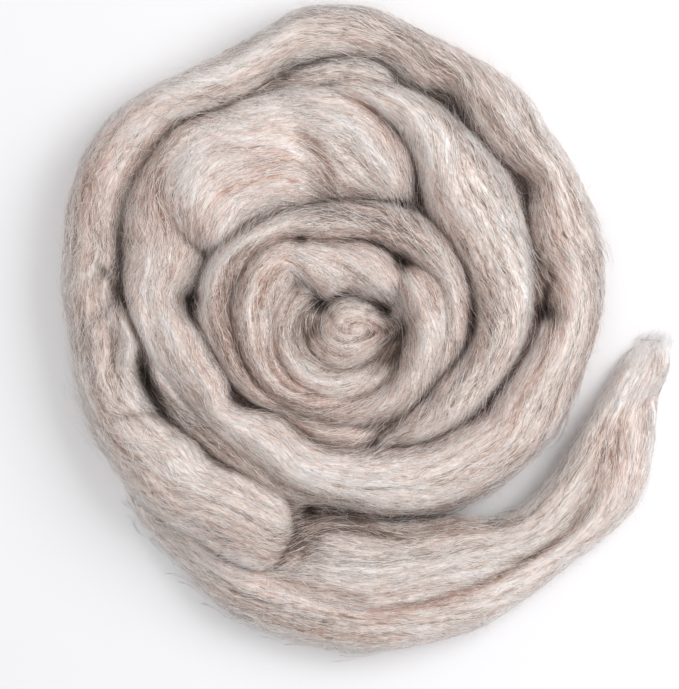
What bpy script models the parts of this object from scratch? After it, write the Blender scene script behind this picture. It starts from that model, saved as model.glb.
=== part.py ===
"""Wool roving: about 50 g of combed wool top, laid down as a flat coil with a loose tail.

The roving is one long soft strand.  It lies in turns around the middle of the coil, and
each stretch of it is a closed loft whose cross-section is a soft loaf: a round crown on
sides that draw in where they are free and spread where they press on the next turn.  All
stretches are joined into one solid, and a block under the floor cuts the underside flat.

Sizes are in millimetres in the tables and in metres in the model, with +Z up.
"""

import math
from collections import namedtuple

import bmesh
import bpy
import numpy as np
from mathutils import Vector

MM = 0.001

# Driving dimensions.
SECTION_SPACING = 9.0        # mm along a strand from one section to the next
END_SPACING = (1.5, 5.0)     # mm from each end of a strand to its nearest sections
CROWN_POINTS = 11            # points of a section from one shoulder over the crown to the other
CROWN_FULLNESS = 0.85        # 1 is a round crown, less is a fuller one
SHOULDER_SHARE = 0.42        # height of the widest place of a section, as a share of its top
SHOULDER_LIMIT = 15.0        # mm, the widest place is never higher than this
FLOOR_DIP = 3.0              # mm that the first stretch reaches below the floor before the cut
DIP_STEP = 0.37              # mm that each further stretch reaches lower than the one before
BLUNT_END = 11.0             # mm over which a stretch rounds off at each end
BLUNT_LEAST = 0.30           # size of the last section, as a share of the full one
TWIST_DEPTH = 0.08           # height of the strand's slow twist, as a share of the crown
TWIST_LENGTH = 95.0          # mm along the strand for one turn of the twist
TWIST_LOBES = 3              # ridges of the twist across the crown

WOOL_COLOUR = (0.60, 0.52, 0.46, 1.0)
WOOL_ROUGHNESS = 0.95
SMOOTH_ANGLE = 50.0          # degrees, creases sharper than this stay sharp

# The ways a side of a stretch can stand:
#   press   mm that it reaches past its edge, into the wool beside it
#   ankle   distance from the middle of the stretch halfway down, as a share of half its width
#   foot    the same at the floor
Side = namedtuple("Side", "press ankle foot")
FREE = Side(0.0, 0.94, 0.76)
PRESSED = Side(1.6, 1.10, 1.20)
NESTED = Side(3.0, 1.05, 1.10)

# The stretches of the roving, from the tip of the tail inwards: how the inner and the outer
# side stand, and a row for each section:
#   bearing   degrees around the coil, clockwise from +X as seen from above
#   inner     mm from the middle of the coil to the inner edge
#   outer     mm from the middle of the coil to the outer edge
#   top       mm from the floor to the crown
Stretch = namedtuple("Stretch", "inner_side outer_side rows")
COLUMNS = ("bearing", "inner", "outer", "top")

STRETCHES = {
    "tail_inner_lobe": Stretch(FREE, PRESSED, (
        (3, 138, 153, 8),
        (9, 131, 152, 13),
        (17, 125, 141, 18),
        (26, 121, 139, 22),
        (35, 120, 141, 25),
        (44, 119, 140, 27),
        (51, 114, 137, 29),
        (57, 103, 135, 31),
        (64, 97, 133, 32),
        (72, 92, 132, 33),
        (80, 88, 131, 33),
        (90, 84, 128, 32),
        (100, 84, 123, 27),
        (110, 86, 119, 20),
    )),
    "tail_outer_lobe": Stretch(PRESSED, FREE, (
        (12, 131, 151, 12),
        (20, 131, 155, 18),
        (26, 133, 159, 22),
        (31, 138, 160, 24),
        (38, 142, 157, 25),
        (46, 140, 153, 25),
        (55, 135, 152, 26),
        (64, 133, 153, 26),
        (73, 131, 151, 26),
        (82, 127, 150, 26),
        (91, 121, 147, 26),
        (100, 116, 143, 26),
        (110, 113, 139, 25),
        (120, 110, 131, 22),
        (130, 106, 126, 18),
        (141, 104, 121, 13),
    )),
    "outer_loop_left": Stretch(PRESSED, FREE, (
        (100, 84, 116, 36),
        (105, 80, 118, 41),
        (113, 79, 118, 43),
        (122, 79, 116, 42),
        (131, 82, 118, 40),
        (140, 81, 119, 40),
        (150, 87, 119, 37),
        (158, 90, 119, 35),
        (165, 91, 119, 35),
        (173, 89, 119, 36),
        (180, 92, 120, 36),
        (188, 98, 124, 34),
        (197, 101, 127, 35),
        (206, 108, 132, 34),
        (215, 111, 136, 34),
        (223, 112, 137, 34),
        (231, 114, 135, 33),
        (240, 111, 132, 33),
        (248, 110, 132, 34),
        (256, 115, 136, 35),
        (264, 119, 143, 36),
        (272, 121, 144, 36),
        (279, 121, 143, 34),
        (286, 120, 139, 28),
    )),
    "outer_loop_right": Stretch(PRESSED, FREE, (
        (276, 122, 140, 28),
        (283, 118, 139, 34),
        (290, 113, 137, 36),
        (297, 117, 136, 34),
        (304, 109, 136, 38),
        (311, 105, 135, 38),
        (318, 107, 131, 34),
        (325, 109, 130, 34),
        (331, 102, 129, 38),
        (338, 98, 127, 37),
        (346, 98, 125, 36),
        (355, 98, 122, 38),
        (363, 92, 119, 39),
        (372, 89, 115, 38),
        (382, 88, 112, 33),
    )),
    "second_turn_lower": Stretch(PRESSED, FREE, (
        (-12, 103, 120, 26),
        (-1, 95, 118, 34),
        (10, 88, 115, 40),
        (21, 82, 113, 41),
        (31, 79, 110, 43),
        (41, 73, 107, 44),
        (51, 69, 103, 45),
        (61, 64, 98, 45),
        (71, 60, 92, 45),
        (82, 57, 86, 45),
        (93, 55, 82, 45),
        (105, 51, 78, 44),
        (117, 47, 74, 44),
        (128, 50, 73, 44),
        (137, 56, 73, 45),
        (144, 57, 74, 46),
        (153, 52, 76, 45),
        (165, 53, 82, 44),
        (175, 56, 87, 44),
        (183, 65, 92, 44),
        (190, 68, 96, 44),
        (198, 63, 100, 44),
        (207, 64, 106, 42),
        (215, 78, 110, 40),
        (223, 92, 112, 38),
        (232, 99, 113, 37),
        (242, 99, 109, 35),
        (250, 98, 107, 31),
    )),
    "second_turn_shoulder": Stretch(PRESSED, PRESSED, (
        (88, 73, 84, 30),
        (101, 71, 82, 34),
        (116, 69, 79, 35),
        (130, 69, 79, 35),
        (144, 70, 82, 35),
        (158, 73, 86, 35),
        (172, 80, 88, 31),
    )),
    "bedded_turn": Stretch(PRESSED, PRESSED, (
        (64, 92, 103, 16),
        (76, 85, 96, 20),
        (91, 79, 91, 25),
        (110, 73, 88, 27),
        (130, 72, 90, 27),
        (150, 76, 96, 27),
        (170, 80, 98, 27),
        (190, 90, 106, 27),
        (210, 100, 118, 26),
        (230, 106, 121, 25),
        (250, 104, 119, 24),
        (263, 107, 124, 24),
        (276, 111, 126, 24),
        (289, 104, 121, 24),
        (301, 103, 122, 22),
        (313, 98, 112, 24),
        (325, 96, 114, 22),
        (338, 90, 106, 24),
        (352, 86, 104, 25),
        (366, 82, 98, 26),
        (380, 76, 88, 24),
    )),
    "left_fold": Stretch(PRESSED, PRESSED, (
        (206, 60, 82, 40),
        (213, 59, 93, 46),
        (221, 57, 102, 48),
        (230, 57, 106, 47),
        (240, 55, 107, 45),
        (249, 53, 107, 44),
        (257, 53, 104, 42),
        (266, 55, 98, 36),
    )),
    "right_fold": Stretch(PRESSED, PRESSED, (
        (255, 60, 107, 36),
        (264, 55, 107, 43),
        (272, 54, 104, 45),
        (280, 55, 99, 45),
        (287, 57, 92, 44),
        (295, 59, 83, 42),
        (303, 61, 72, 36),
    )),
    "top_arc": Stretch(PRESSED, PRESSED, (
        (256, 106, 112, 26),
        (264, 106, 116, 31),
        (271, 106, 119, 33),
        (278, 106, 119, 33),
        (287, 106, 113, 27),
    )),
    "second_turn_upper": Stretch(PRESSED, PRESSED, (
        (268, 100, 109, 34),
        (276, 99, 109, 39),
        (284, 95, 109, 43),
        (291, 89, 109, 45),
        (298, 80, 108, 46),
        (305, 71, 105, 47),
        (313, 65, 103, 48),
        (322, 63, 101, 48),
        (332, 63, 96, 48),
        (343, 64, 92, 48),
        (354, 65, 89, 48),
        (365, 64, 85, 48),
        (376, 60, 80, 48),
        (388, 55, 75, 47),
        (400, 54, 71, 45),
        (411, 53, 67, 42),
        (422, 54, 62, 36),
    )),
    "inner_ring_outer": Stretch(NESTED, NESTED, (
        (66, 47, 56, 35),
        (78, 45, 57, 38),
        (92, 43, 55, 39),
        (106, 41, 51, 38),
        (120, 41, 46, 38),
        (135, 42, 49, 41),
        (150, 42, 51, 43),
        (165, 43, 53, 45),
        (180, 45, 58, 47),
        (195, 47, 60, 49),
        (210, 47, 60, 50),
        (225, 47, 56, 50),
        (240, 45, 53, 49),
        (252, 41, 52, 48),
        (265, 38, 52, 47),
        (280, 39, 54, 47),
        (295, 42, 57, 48),
        (310, 44, 60, 49),
        (325, 47, 61, 49),
        (340, 50, 61, 48),
        (355, 50, 59, 47),
        (370, 49, 57, 45),
        (384, 47, 53, 42),
        (398, 45, 50, 36),
    )),
    "inner_ring_middle": Stretch(NESTED, NESTED, (
        (316, 38, 44, 38),
        (327, 33, 48, 46),
        (340, 33, 50, 51),
        (353, 34, 50, 53),
        (367, 36, 50, 54),
        (381, 36, 49, 53),
        (395, 38, 49, 51),
        (409, 38, 49, 49),
        (423, 37, 47, 48),
        (438, 36, 45, 47),
        (454, 34, 43, 46),
        (470, 32, 42, 46),
        (486, 31, 42, 47),
        (502, 30, 42, 48),
        (518, 29, 43, 49),
        (534, 27, 44, 50),
        (550, 26, 46, 51),
        (566, 26, 47, 52),
        (580, 26, 47, 52),
        (592, 26, 45, 51),
        (603, 27, 42, 47),
    )),
    "crossing_lock": Stretch(NESTED, NESTED, (
        (588, 27, 40, 44),
        (598, 20, 41, 48),
        (608, 15, 40, 50),
        (622, 13, 37, 50),
        (638, 14, 36, 50),
        (653, 16, 37, 51),
        (668, 18, 38, 51),
        (682, 20, 37, 49),
        (696, 24, 34, 42),
    )),
    "inner_ring_heart": Stretch(NESTED, NESTED, (
        (386, 27, 35, 31),
        (402, 26, 36, 37),
        (418, 25, 36, 41),
        (436, 23, 35, 44),
        (456, 21, 34, 45),
        (478, 19, 32, 46),
        (502, 18, 30, 46),
        (528, 17, 28, 45),
        (554, 16, 26, 44),
        (582, 15, 25, 39),
    )),
    "heart_curl": Stretch(PRESSED, NESTED, (
        (345, 4, 18, 36),
        (375, 4, 19, 40),
        (405, 4, 21, 42),
        (435, 4, 21, 42),
        (465, 4, 19, 41),
        (495, 4, 17, 39),
        (525, 4, 14, 34),
    )),
}

# Wool tucked into the middle, in round lumps:
#   bearing   degrees around the coil, clockwise from +X as seen from above
#   radius    mm from the middle of the coil to the middle of the lump
#   width     mm across
#   top       mm from the floor to the crown
Lump = namedtuple("Lump", "bearing radius width top")

LUMPS = {
    "tucked_start": Lump(0, 0, 144, 32),
    "heart_end": Lump(20, 9, 34, 42),
}

LUMP_SIDES = 18
LUMP_RINGS = 6
LUMP_FOOT_CLIMB = -0.35      # radians, the lowest ring of a lump, below its widest place
LUMP_CROWN_CLIMB = 1.35      # radians, its highest ring
LUMP_FLATNESS = 0.6          # 1 is a round dome, less is a flatter one


def smooth_rows(rows, per_row=12):
    """Run a smooth curve through the rows of a table, as a dictionary of columns."""
    table = np.array(rows, dtype=float)
    last = len(table) - 1
    place = np.linspace(0.0, last, last * per_row + 1)
    low = np.minimum(place.astype(int), last - 1)
    part = (place - low)[:, None]
    before = table[np.maximum(low - 1, 0)]
    start = table[low]
    end = table[low + 1]
    after = table[np.minimum(low + 2, last)]
    bend = 3 * (start - end) + after - before
    slope = 2 * before - 5 * start + 4 * end - after + part * bend
    curve = start + 0.5 * part * (end - before + part * slope)
    return dict(zip(COLUMNS, curve.T))


def section_places(length):
    """Even places along a stretch, with closer ones where its ends round off."""
    first = END_SPACING[-1] + SECTION_SPACING / 2
    count = max(2, int(round((length - 2 * first) / SECTION_SPACING)) + 1)
    between = np.linspace(first, length - first, count)
    near = np.array(END_SPACING)
    return np.concatenate(([0.0], near, between, length - near[::-1], [length]))


def sections(rows):
    """Sections of a stretch along its middle line, with rounded ends."""
    fine = smooth_rows(rows)
    bearing = np.radians(fine["bearing"])
    middle = (fine["inner"] + fine["outer"]) / 2
    steps = np.hypot(np.diff(middle * np.cos(bearing)), np.diff(middle * np.sin(bearing)))
    along = np.concatenate(([0.0], np.cumsum(steps)))
    place = section_places(along[-1])
    even = {name: np.interp(place, along, column) for name, column in fine.items()}
    even["along"] = place
    to_end = np.clip(np.minimum(place, along[-1] - place) / BLUNT_END, 0, 1)
    even["fullness"] = BLUNT_LEAST + (1 - BLUNT_LEAST) * np.sqrt(1 - (1 - to_end) ** 2)
    return even


def loaf_points(stretch, dip):
    """Points of every section of a stretch: over the crown, then down and under the foot."""
    even = sections(stretch.rows)
    inner = even["inner"] - stretch.inner_side.press
    outer = even["outer"] + stretch.outer_side.press
    middle = ((outer + inner) / 2)[:, None]
    half = ((outer - inner) / 2 * even["fullness"])[:, None]
    top = (even["top"] * (0.45 + 0.55 * even["fullness"]))[:, None]
    shoulder = np.minimum(top * SHOULDER_SHARE, SHOULDER_LIMIT)

    crown = np.linspace(0.0, math.pi, CROWN_POINTS)
    turn = 2 * math.pi * even["along"][:, None] / TWIST_LENGTH
    twist = 1 + TWIST_DEPTH * np.cos(TWIST_LOBES * crown + turn)
    rise = (top - shoulder) * np.abs(np.sin(crown)) ** CROWN_FULLNESS * twist

    one = np.ones_like(top)
    share = np.hstack([
        np.cos(crown) * one,
        -stretch.inner_side.ankle * one,
        -stretch.inner_side.foot * one,
        stretch.outer_side.foot * one,
        stretch.outer_side.ankle * one,
    ])
    halfway = (shoulder - dip) / 2
    height = np.hstack([shoulder + rise, halfway, -dip * one, -dip * one, halfway])
    bearing = np.radians(even["bearing"])[:, None]
    distance = middle + share * half
    return np.stack([distance * np.cos(bearing), -distance * np.sin(bearing), height], axis=2)


def dome_points(lump, dip):
    """Rings of a round lump, from its foot up to just below its crown."""
    east = lump.radius * math.cos(math.radians(lump.bearing))
    north = -lump.radius * math.sin(math.radians(lump.bearing))
    climb = np.linspace(LUMP_FOOT_CLIMB, LUMP_CROWN_CLIMB, LUMP_RINGS)[:, None]
    turn = np.linspace(0.0, 2 * math.pi, LUMP_SIDES, endpoint=False)[None, :]
    reach = lump.width / 2 * np.cos(climb)
    shoulder = lump.top * SHOULDER_SHARE
    rise = (lump.top - shoulder) * np.abs(np.sin(climb)) ** LUMP_FLATNESS
    height = np.where(climb > 0, shoulder + rise, -dip) * np.ones_like(turn)
    return np.stack([east + reach * np.cos(turn), north + reach * np.sin(turn), height], axis=2)


def loft(name, rings, collection, material):
    """Close a row of rings into one solid, with its faces pointing out."""
    solid = bmesh.new()
    loops = [[solid.verts.new(point * MM) for point in ring] for ring in rings]
    for near, far in zip(loops, loops[1:]):
        for side, corner in enumerate(near):
            following = (side + 1) % len(near)
            solid.faces.new((corner, near[following], far[following], far[side]))
    for loop in (loops[0], loops[-1]):
        tip = solid.verts.new(sum((corner.co for corner in loop), Vector()) / len(loop))
        for side, corner in enumerate(loop):
            solid.faces.new((corner, loop[(side + 1) % len(loop)], tip))
    bmesh.ops.triangulate(solid, faces=solid.faces)
    bmesh.ops.recalc_face_normals(solid, faces=solid.faces)
    mesh = bpy.data.meshes.new(name)
    solid.to_mesh(mesh)
    solid.free()
    mesh.shade_smooth()
    mesh.set_sharp_from_angle(angle=math.radians(SMOOTH_ANGLE))
    mesh.materials.append(material)
    stretch = bpy.data.objects.new(name, mesh)
    collection.objects.link(stretch)
    return stretch


def wool_material():
    """Undyed wool: matt, warm grey and white fibres mixed in the comb."""
    material = bpy.data.materials.new("undyed_combed_wool")
    material.use_nodes = True
    shader = material.node_tree.nodes["Principled BSDF"]
    shader.inputs["Base Color"].default_value = WOOL_COLOUR
    shader.inputs["Roughness"].default_value = WOOL_ROUGHNESS
    shader.inputs["Metallic"].default_value = 0.0
    return material


def new_collection(name):
    collection = bpy.data.collections.new(name)
    bpy.context.scene.collection.children.link(collection)
    return collection


def as_cutter(tool):
    """Keep a solid out of the part: it only joins or cuts another one."""
    tool.hide_render = True
    tool.display_type = "WIRE"
    return tool


def combine(body, tool, operation):
    step = body.modifiers.new(operation.lower() + "_" + tool.name, "BOOLEAN")
    step.operation = operation
    step.solver = "EXACT"
    step.object = tool


def floor_block(side, depth, collection):
    """A block whose upper face is the floor."""
    bpy.ops.mesh.primitive_cube_add(size=1.0)
    block = bpy.context.active_object
    block.name = "below_the_floor"
    for corner in block.data.vertices:
        corner.co.x *= side
        corner.co.y *= side
        corner.co.z = (corner.co.z - 0.5) * depth
    for holder in list(block.users_collection):
        holder.objects.unlink(block)
    collection.objects.link(block)
    return block


def build():
    for old in list(bpy.data.objects):
        bpy.data.objects.remove(old, do_unlink=True)
    parts = new_collection("wool_roving_parts")
    tools = new_collection("joining_and_cutting")
    wool = wool_material()

    shapes = {}
    for name, stretch in STRETCHES.items():
        shapes[name] = loaf_points(stretch, FLOOR_DIP + DIP_STEP * len(shapes))
    for name, lump in LUMPS.items():
        shapes[name] = dome_points(lump, FLOOR_DIP + DIP_STEP * len(shapes))
    everything = np.concatenate([rings.reshape(-1, 3) for rings in shapes.values()])
    lowest = everything.min(axis=0)
    highest = everything.max(axis=0)
    middle = (lowest + highest) / 2
    middle[2] = 0.0

    names = list(shapes)
    body = loft("wool_roving", shapes[names[0]] - middle, parts, wool)
    for name in names[1:]:
        combine(body, as_cutter(loft(name, shapes[name] - middle, tools, wool)), "UNION")
    side = 2 * (highest[0] - lowest[0]) * MM
    depth = -2 * lowest[2] * MM
    combine(body, as_cutter(floor_block(side, depth, tools)), "DIFFERENCE")


build()
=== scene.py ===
"""Wool roving, dressed: one strand of combed wool laid as a flat coil with a loose tail.

The lay of the wool is worked out once as a map of square cells: how high it lies, which way
it is combed, and its colour.  The body of the coil and of the tail are surfaces raised from
that map, and thousands of separate fibres are traced along its comb.
"""

import functools
import itertools
import math
from collections import namedtuple

import bpy
import numpy as np
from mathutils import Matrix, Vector


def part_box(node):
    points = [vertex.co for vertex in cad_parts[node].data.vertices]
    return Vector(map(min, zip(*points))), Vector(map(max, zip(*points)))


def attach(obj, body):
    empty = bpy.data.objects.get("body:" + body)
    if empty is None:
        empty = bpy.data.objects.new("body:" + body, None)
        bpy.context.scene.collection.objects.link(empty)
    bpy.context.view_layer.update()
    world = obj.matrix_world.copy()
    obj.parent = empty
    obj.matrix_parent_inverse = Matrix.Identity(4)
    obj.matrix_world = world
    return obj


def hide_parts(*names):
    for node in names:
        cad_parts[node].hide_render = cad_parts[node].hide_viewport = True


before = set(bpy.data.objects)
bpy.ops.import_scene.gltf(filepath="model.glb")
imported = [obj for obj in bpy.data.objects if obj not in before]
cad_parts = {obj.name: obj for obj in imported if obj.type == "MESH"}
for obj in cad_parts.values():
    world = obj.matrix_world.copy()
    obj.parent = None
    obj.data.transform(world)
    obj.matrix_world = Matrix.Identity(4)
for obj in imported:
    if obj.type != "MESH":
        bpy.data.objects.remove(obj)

bl_info = {
    "name": "Wool Roving",
    "version": (1, 0, 0),
    "blender": (4, 5, 0),
    "location": "View3D > Sidebar > Roving",
    "description": "Lays combed wool as a flat coil with a loose tail",
    "category": "Add Mesh",
}

MM = 0.001
NODE = "wool_roving"
BODY = "root"

# The camera, which looks straight down.
RENDER_SIZE = (679, 689)     # pixels
PIXEL = 0.45                 # mm on the object for each pixel
COIL_MIDDLE = (333, 323)     # pixel over the middle of the coil
LENS = 200.0                 # mm
SENSOR = 36.0                # mm
TRUE_HEIGHT = 25.0           # mm above the floor where a pixel has its stated size

# The map of the wool.
CELL = 0.5                   # mm
MAP_REACH = 166.0            # mm from the middle of the coil to each side of the map
CREASE_SOFTNESS = 1.1        # mm, how far two strands melt together where they meet
HEART_SOFTNESS = 3.0         # mm, the same in the middle of the coil
HEART_RADIUS = 20.0          # mm
COMB_BLEND = 2.4             # mm of height over which one strand's comb gives way to the next
FALL = 3.5                   # mm down for each mm past the edge of a strand
OFF_WOOL = 9.0               # the place across, in half widths, of cells that no strand reaches
NO_HEIGHT = -60.0            # mm, a strand's height where it isn't worked out
STRAND_MARGIN = 6.0          # mm past a strand's edges to which it is worked out
MAP_SEED = 7

# The loaf section of a strand.
CROWN_FULLNESS = 0.66
FREE_FULLNESS = 1.05         # the same on a free side
LEANS_FROM = {"second_turn_lower": 58.0}     # degrees from which a free side is held up
LEAN_EASE = 10.0             # degrees
GROOVE_REACH = 3.5           # mm around a groove over which its depth is judged
GROOVE_DEPTH = 5.5           # mm that a groove lies under the wool around it, at most
DRY_GROOVE = 3.0             # mm above the floor, under which a groove isn't filled
SHOULDER_SHARE = 0.42
SHOULDER_LIMIT = 15.0        # mm
LUMP_FULLNESS = 0.6
END_LENGTH = 15.0            # mm over which a strand rounds off at its ends

# How the wool is shaded.
# Painted light: the thin wool at free edges is painted paler, standing in for light that shines
# through it and bounces up from the floor.
EDGE_REACH = 4.0             # mm from a free edge within which the wool is thin and pale
EDGE_PAINTED_LIGHT = 0.85
EDGE_LIMIT = 0.5             # share of the wool missing at which it is palest
THIN_HEIGHT = 4.0            # mm, under which wool is thin
# Painted shade: hollows are painted darker, the more so the deeper they lie under the wool around
# them.
HOLLOW_REACH = 3.0           # mm around a hollow over which its depth is judged
HOLLOW_DEPTH = 5.0           # mm deep, where a hollow is darkest
PAINTED_HOLLOW_SHADE = 0.22
FACING_REACH = 0.8           # mm over which the way that the wool faces is judged
# Painted shade in the pits: darker, and tinted as shade in wool is.
PIT_PAINTED_SHADE = -0.10
PIT_SHADE_TINT = 0.55
TINT_HOLD = 0.7              # share of the way to its own tint that a crease takes the wool
LEAST_SHARE = 0.35           # of its height that the wool keeps under a crease
CREASE_FADE = 0.02           # share of a crease's length over which its ends fade
BELL_REACH = 2.5             # widths from the middle of a crease or pit to where it ends

# Ridges combed out along the wool, coarse to fine:
#   size     mm, radius of the specks that are combed out
#   reach    mm that each speck is drawn out both ways
#   height   mm
#   tone     change of tone on a ridge
#   tint     change of tint on a ridge
Ridge = namedtuple("Ridge", "size reach height tone tint")
RIDGES = (
    Ridge(3.2, 60.0, 0.36, 0.042, 0.13),
    Ridge(1.3, 50.0, 0.14, 0.052, 0.10),
    Ridge(0.5, 40.0, 0.06, 0.064, 0.07),
)

RIDGE_FADE = 10.0            # mm above the floor over which ridges reach their full height
RIDGE_LIMIT = 2.4            # spreads past which a ridge grows no further
RIDGE_STEPS = 24             # strides along a ridge's reach, at most
FINE_RIDGE = 1.0             # mm, under which a ridge follows the waves in the comb
TINT_SIZE = 1.4              # times as large as the specks of a ridge are those of its tint
RIDGE_FLOOR = -2.0           # mm, under which no wool is combed

# Waves in the comb itself, coarse to fine: (size in mm, swing in degrees).
WAVES = ((16.0, 8.0), (5.0, 4.0), (1.6, 2.4))

# The wool is ruffled on the left and well combed from the middle on: places along x in mm,
# and the share of a fibre's turns that it keeps there.
LOOSENESS = ((-110.0, -85.0, -35.0), (1.0, 0.85, 0.42))

# How far a side spreads past its edge in the table, in mm.
FREE = 0.0
PRESSED = 1.6
NESTED = 3.0

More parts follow.
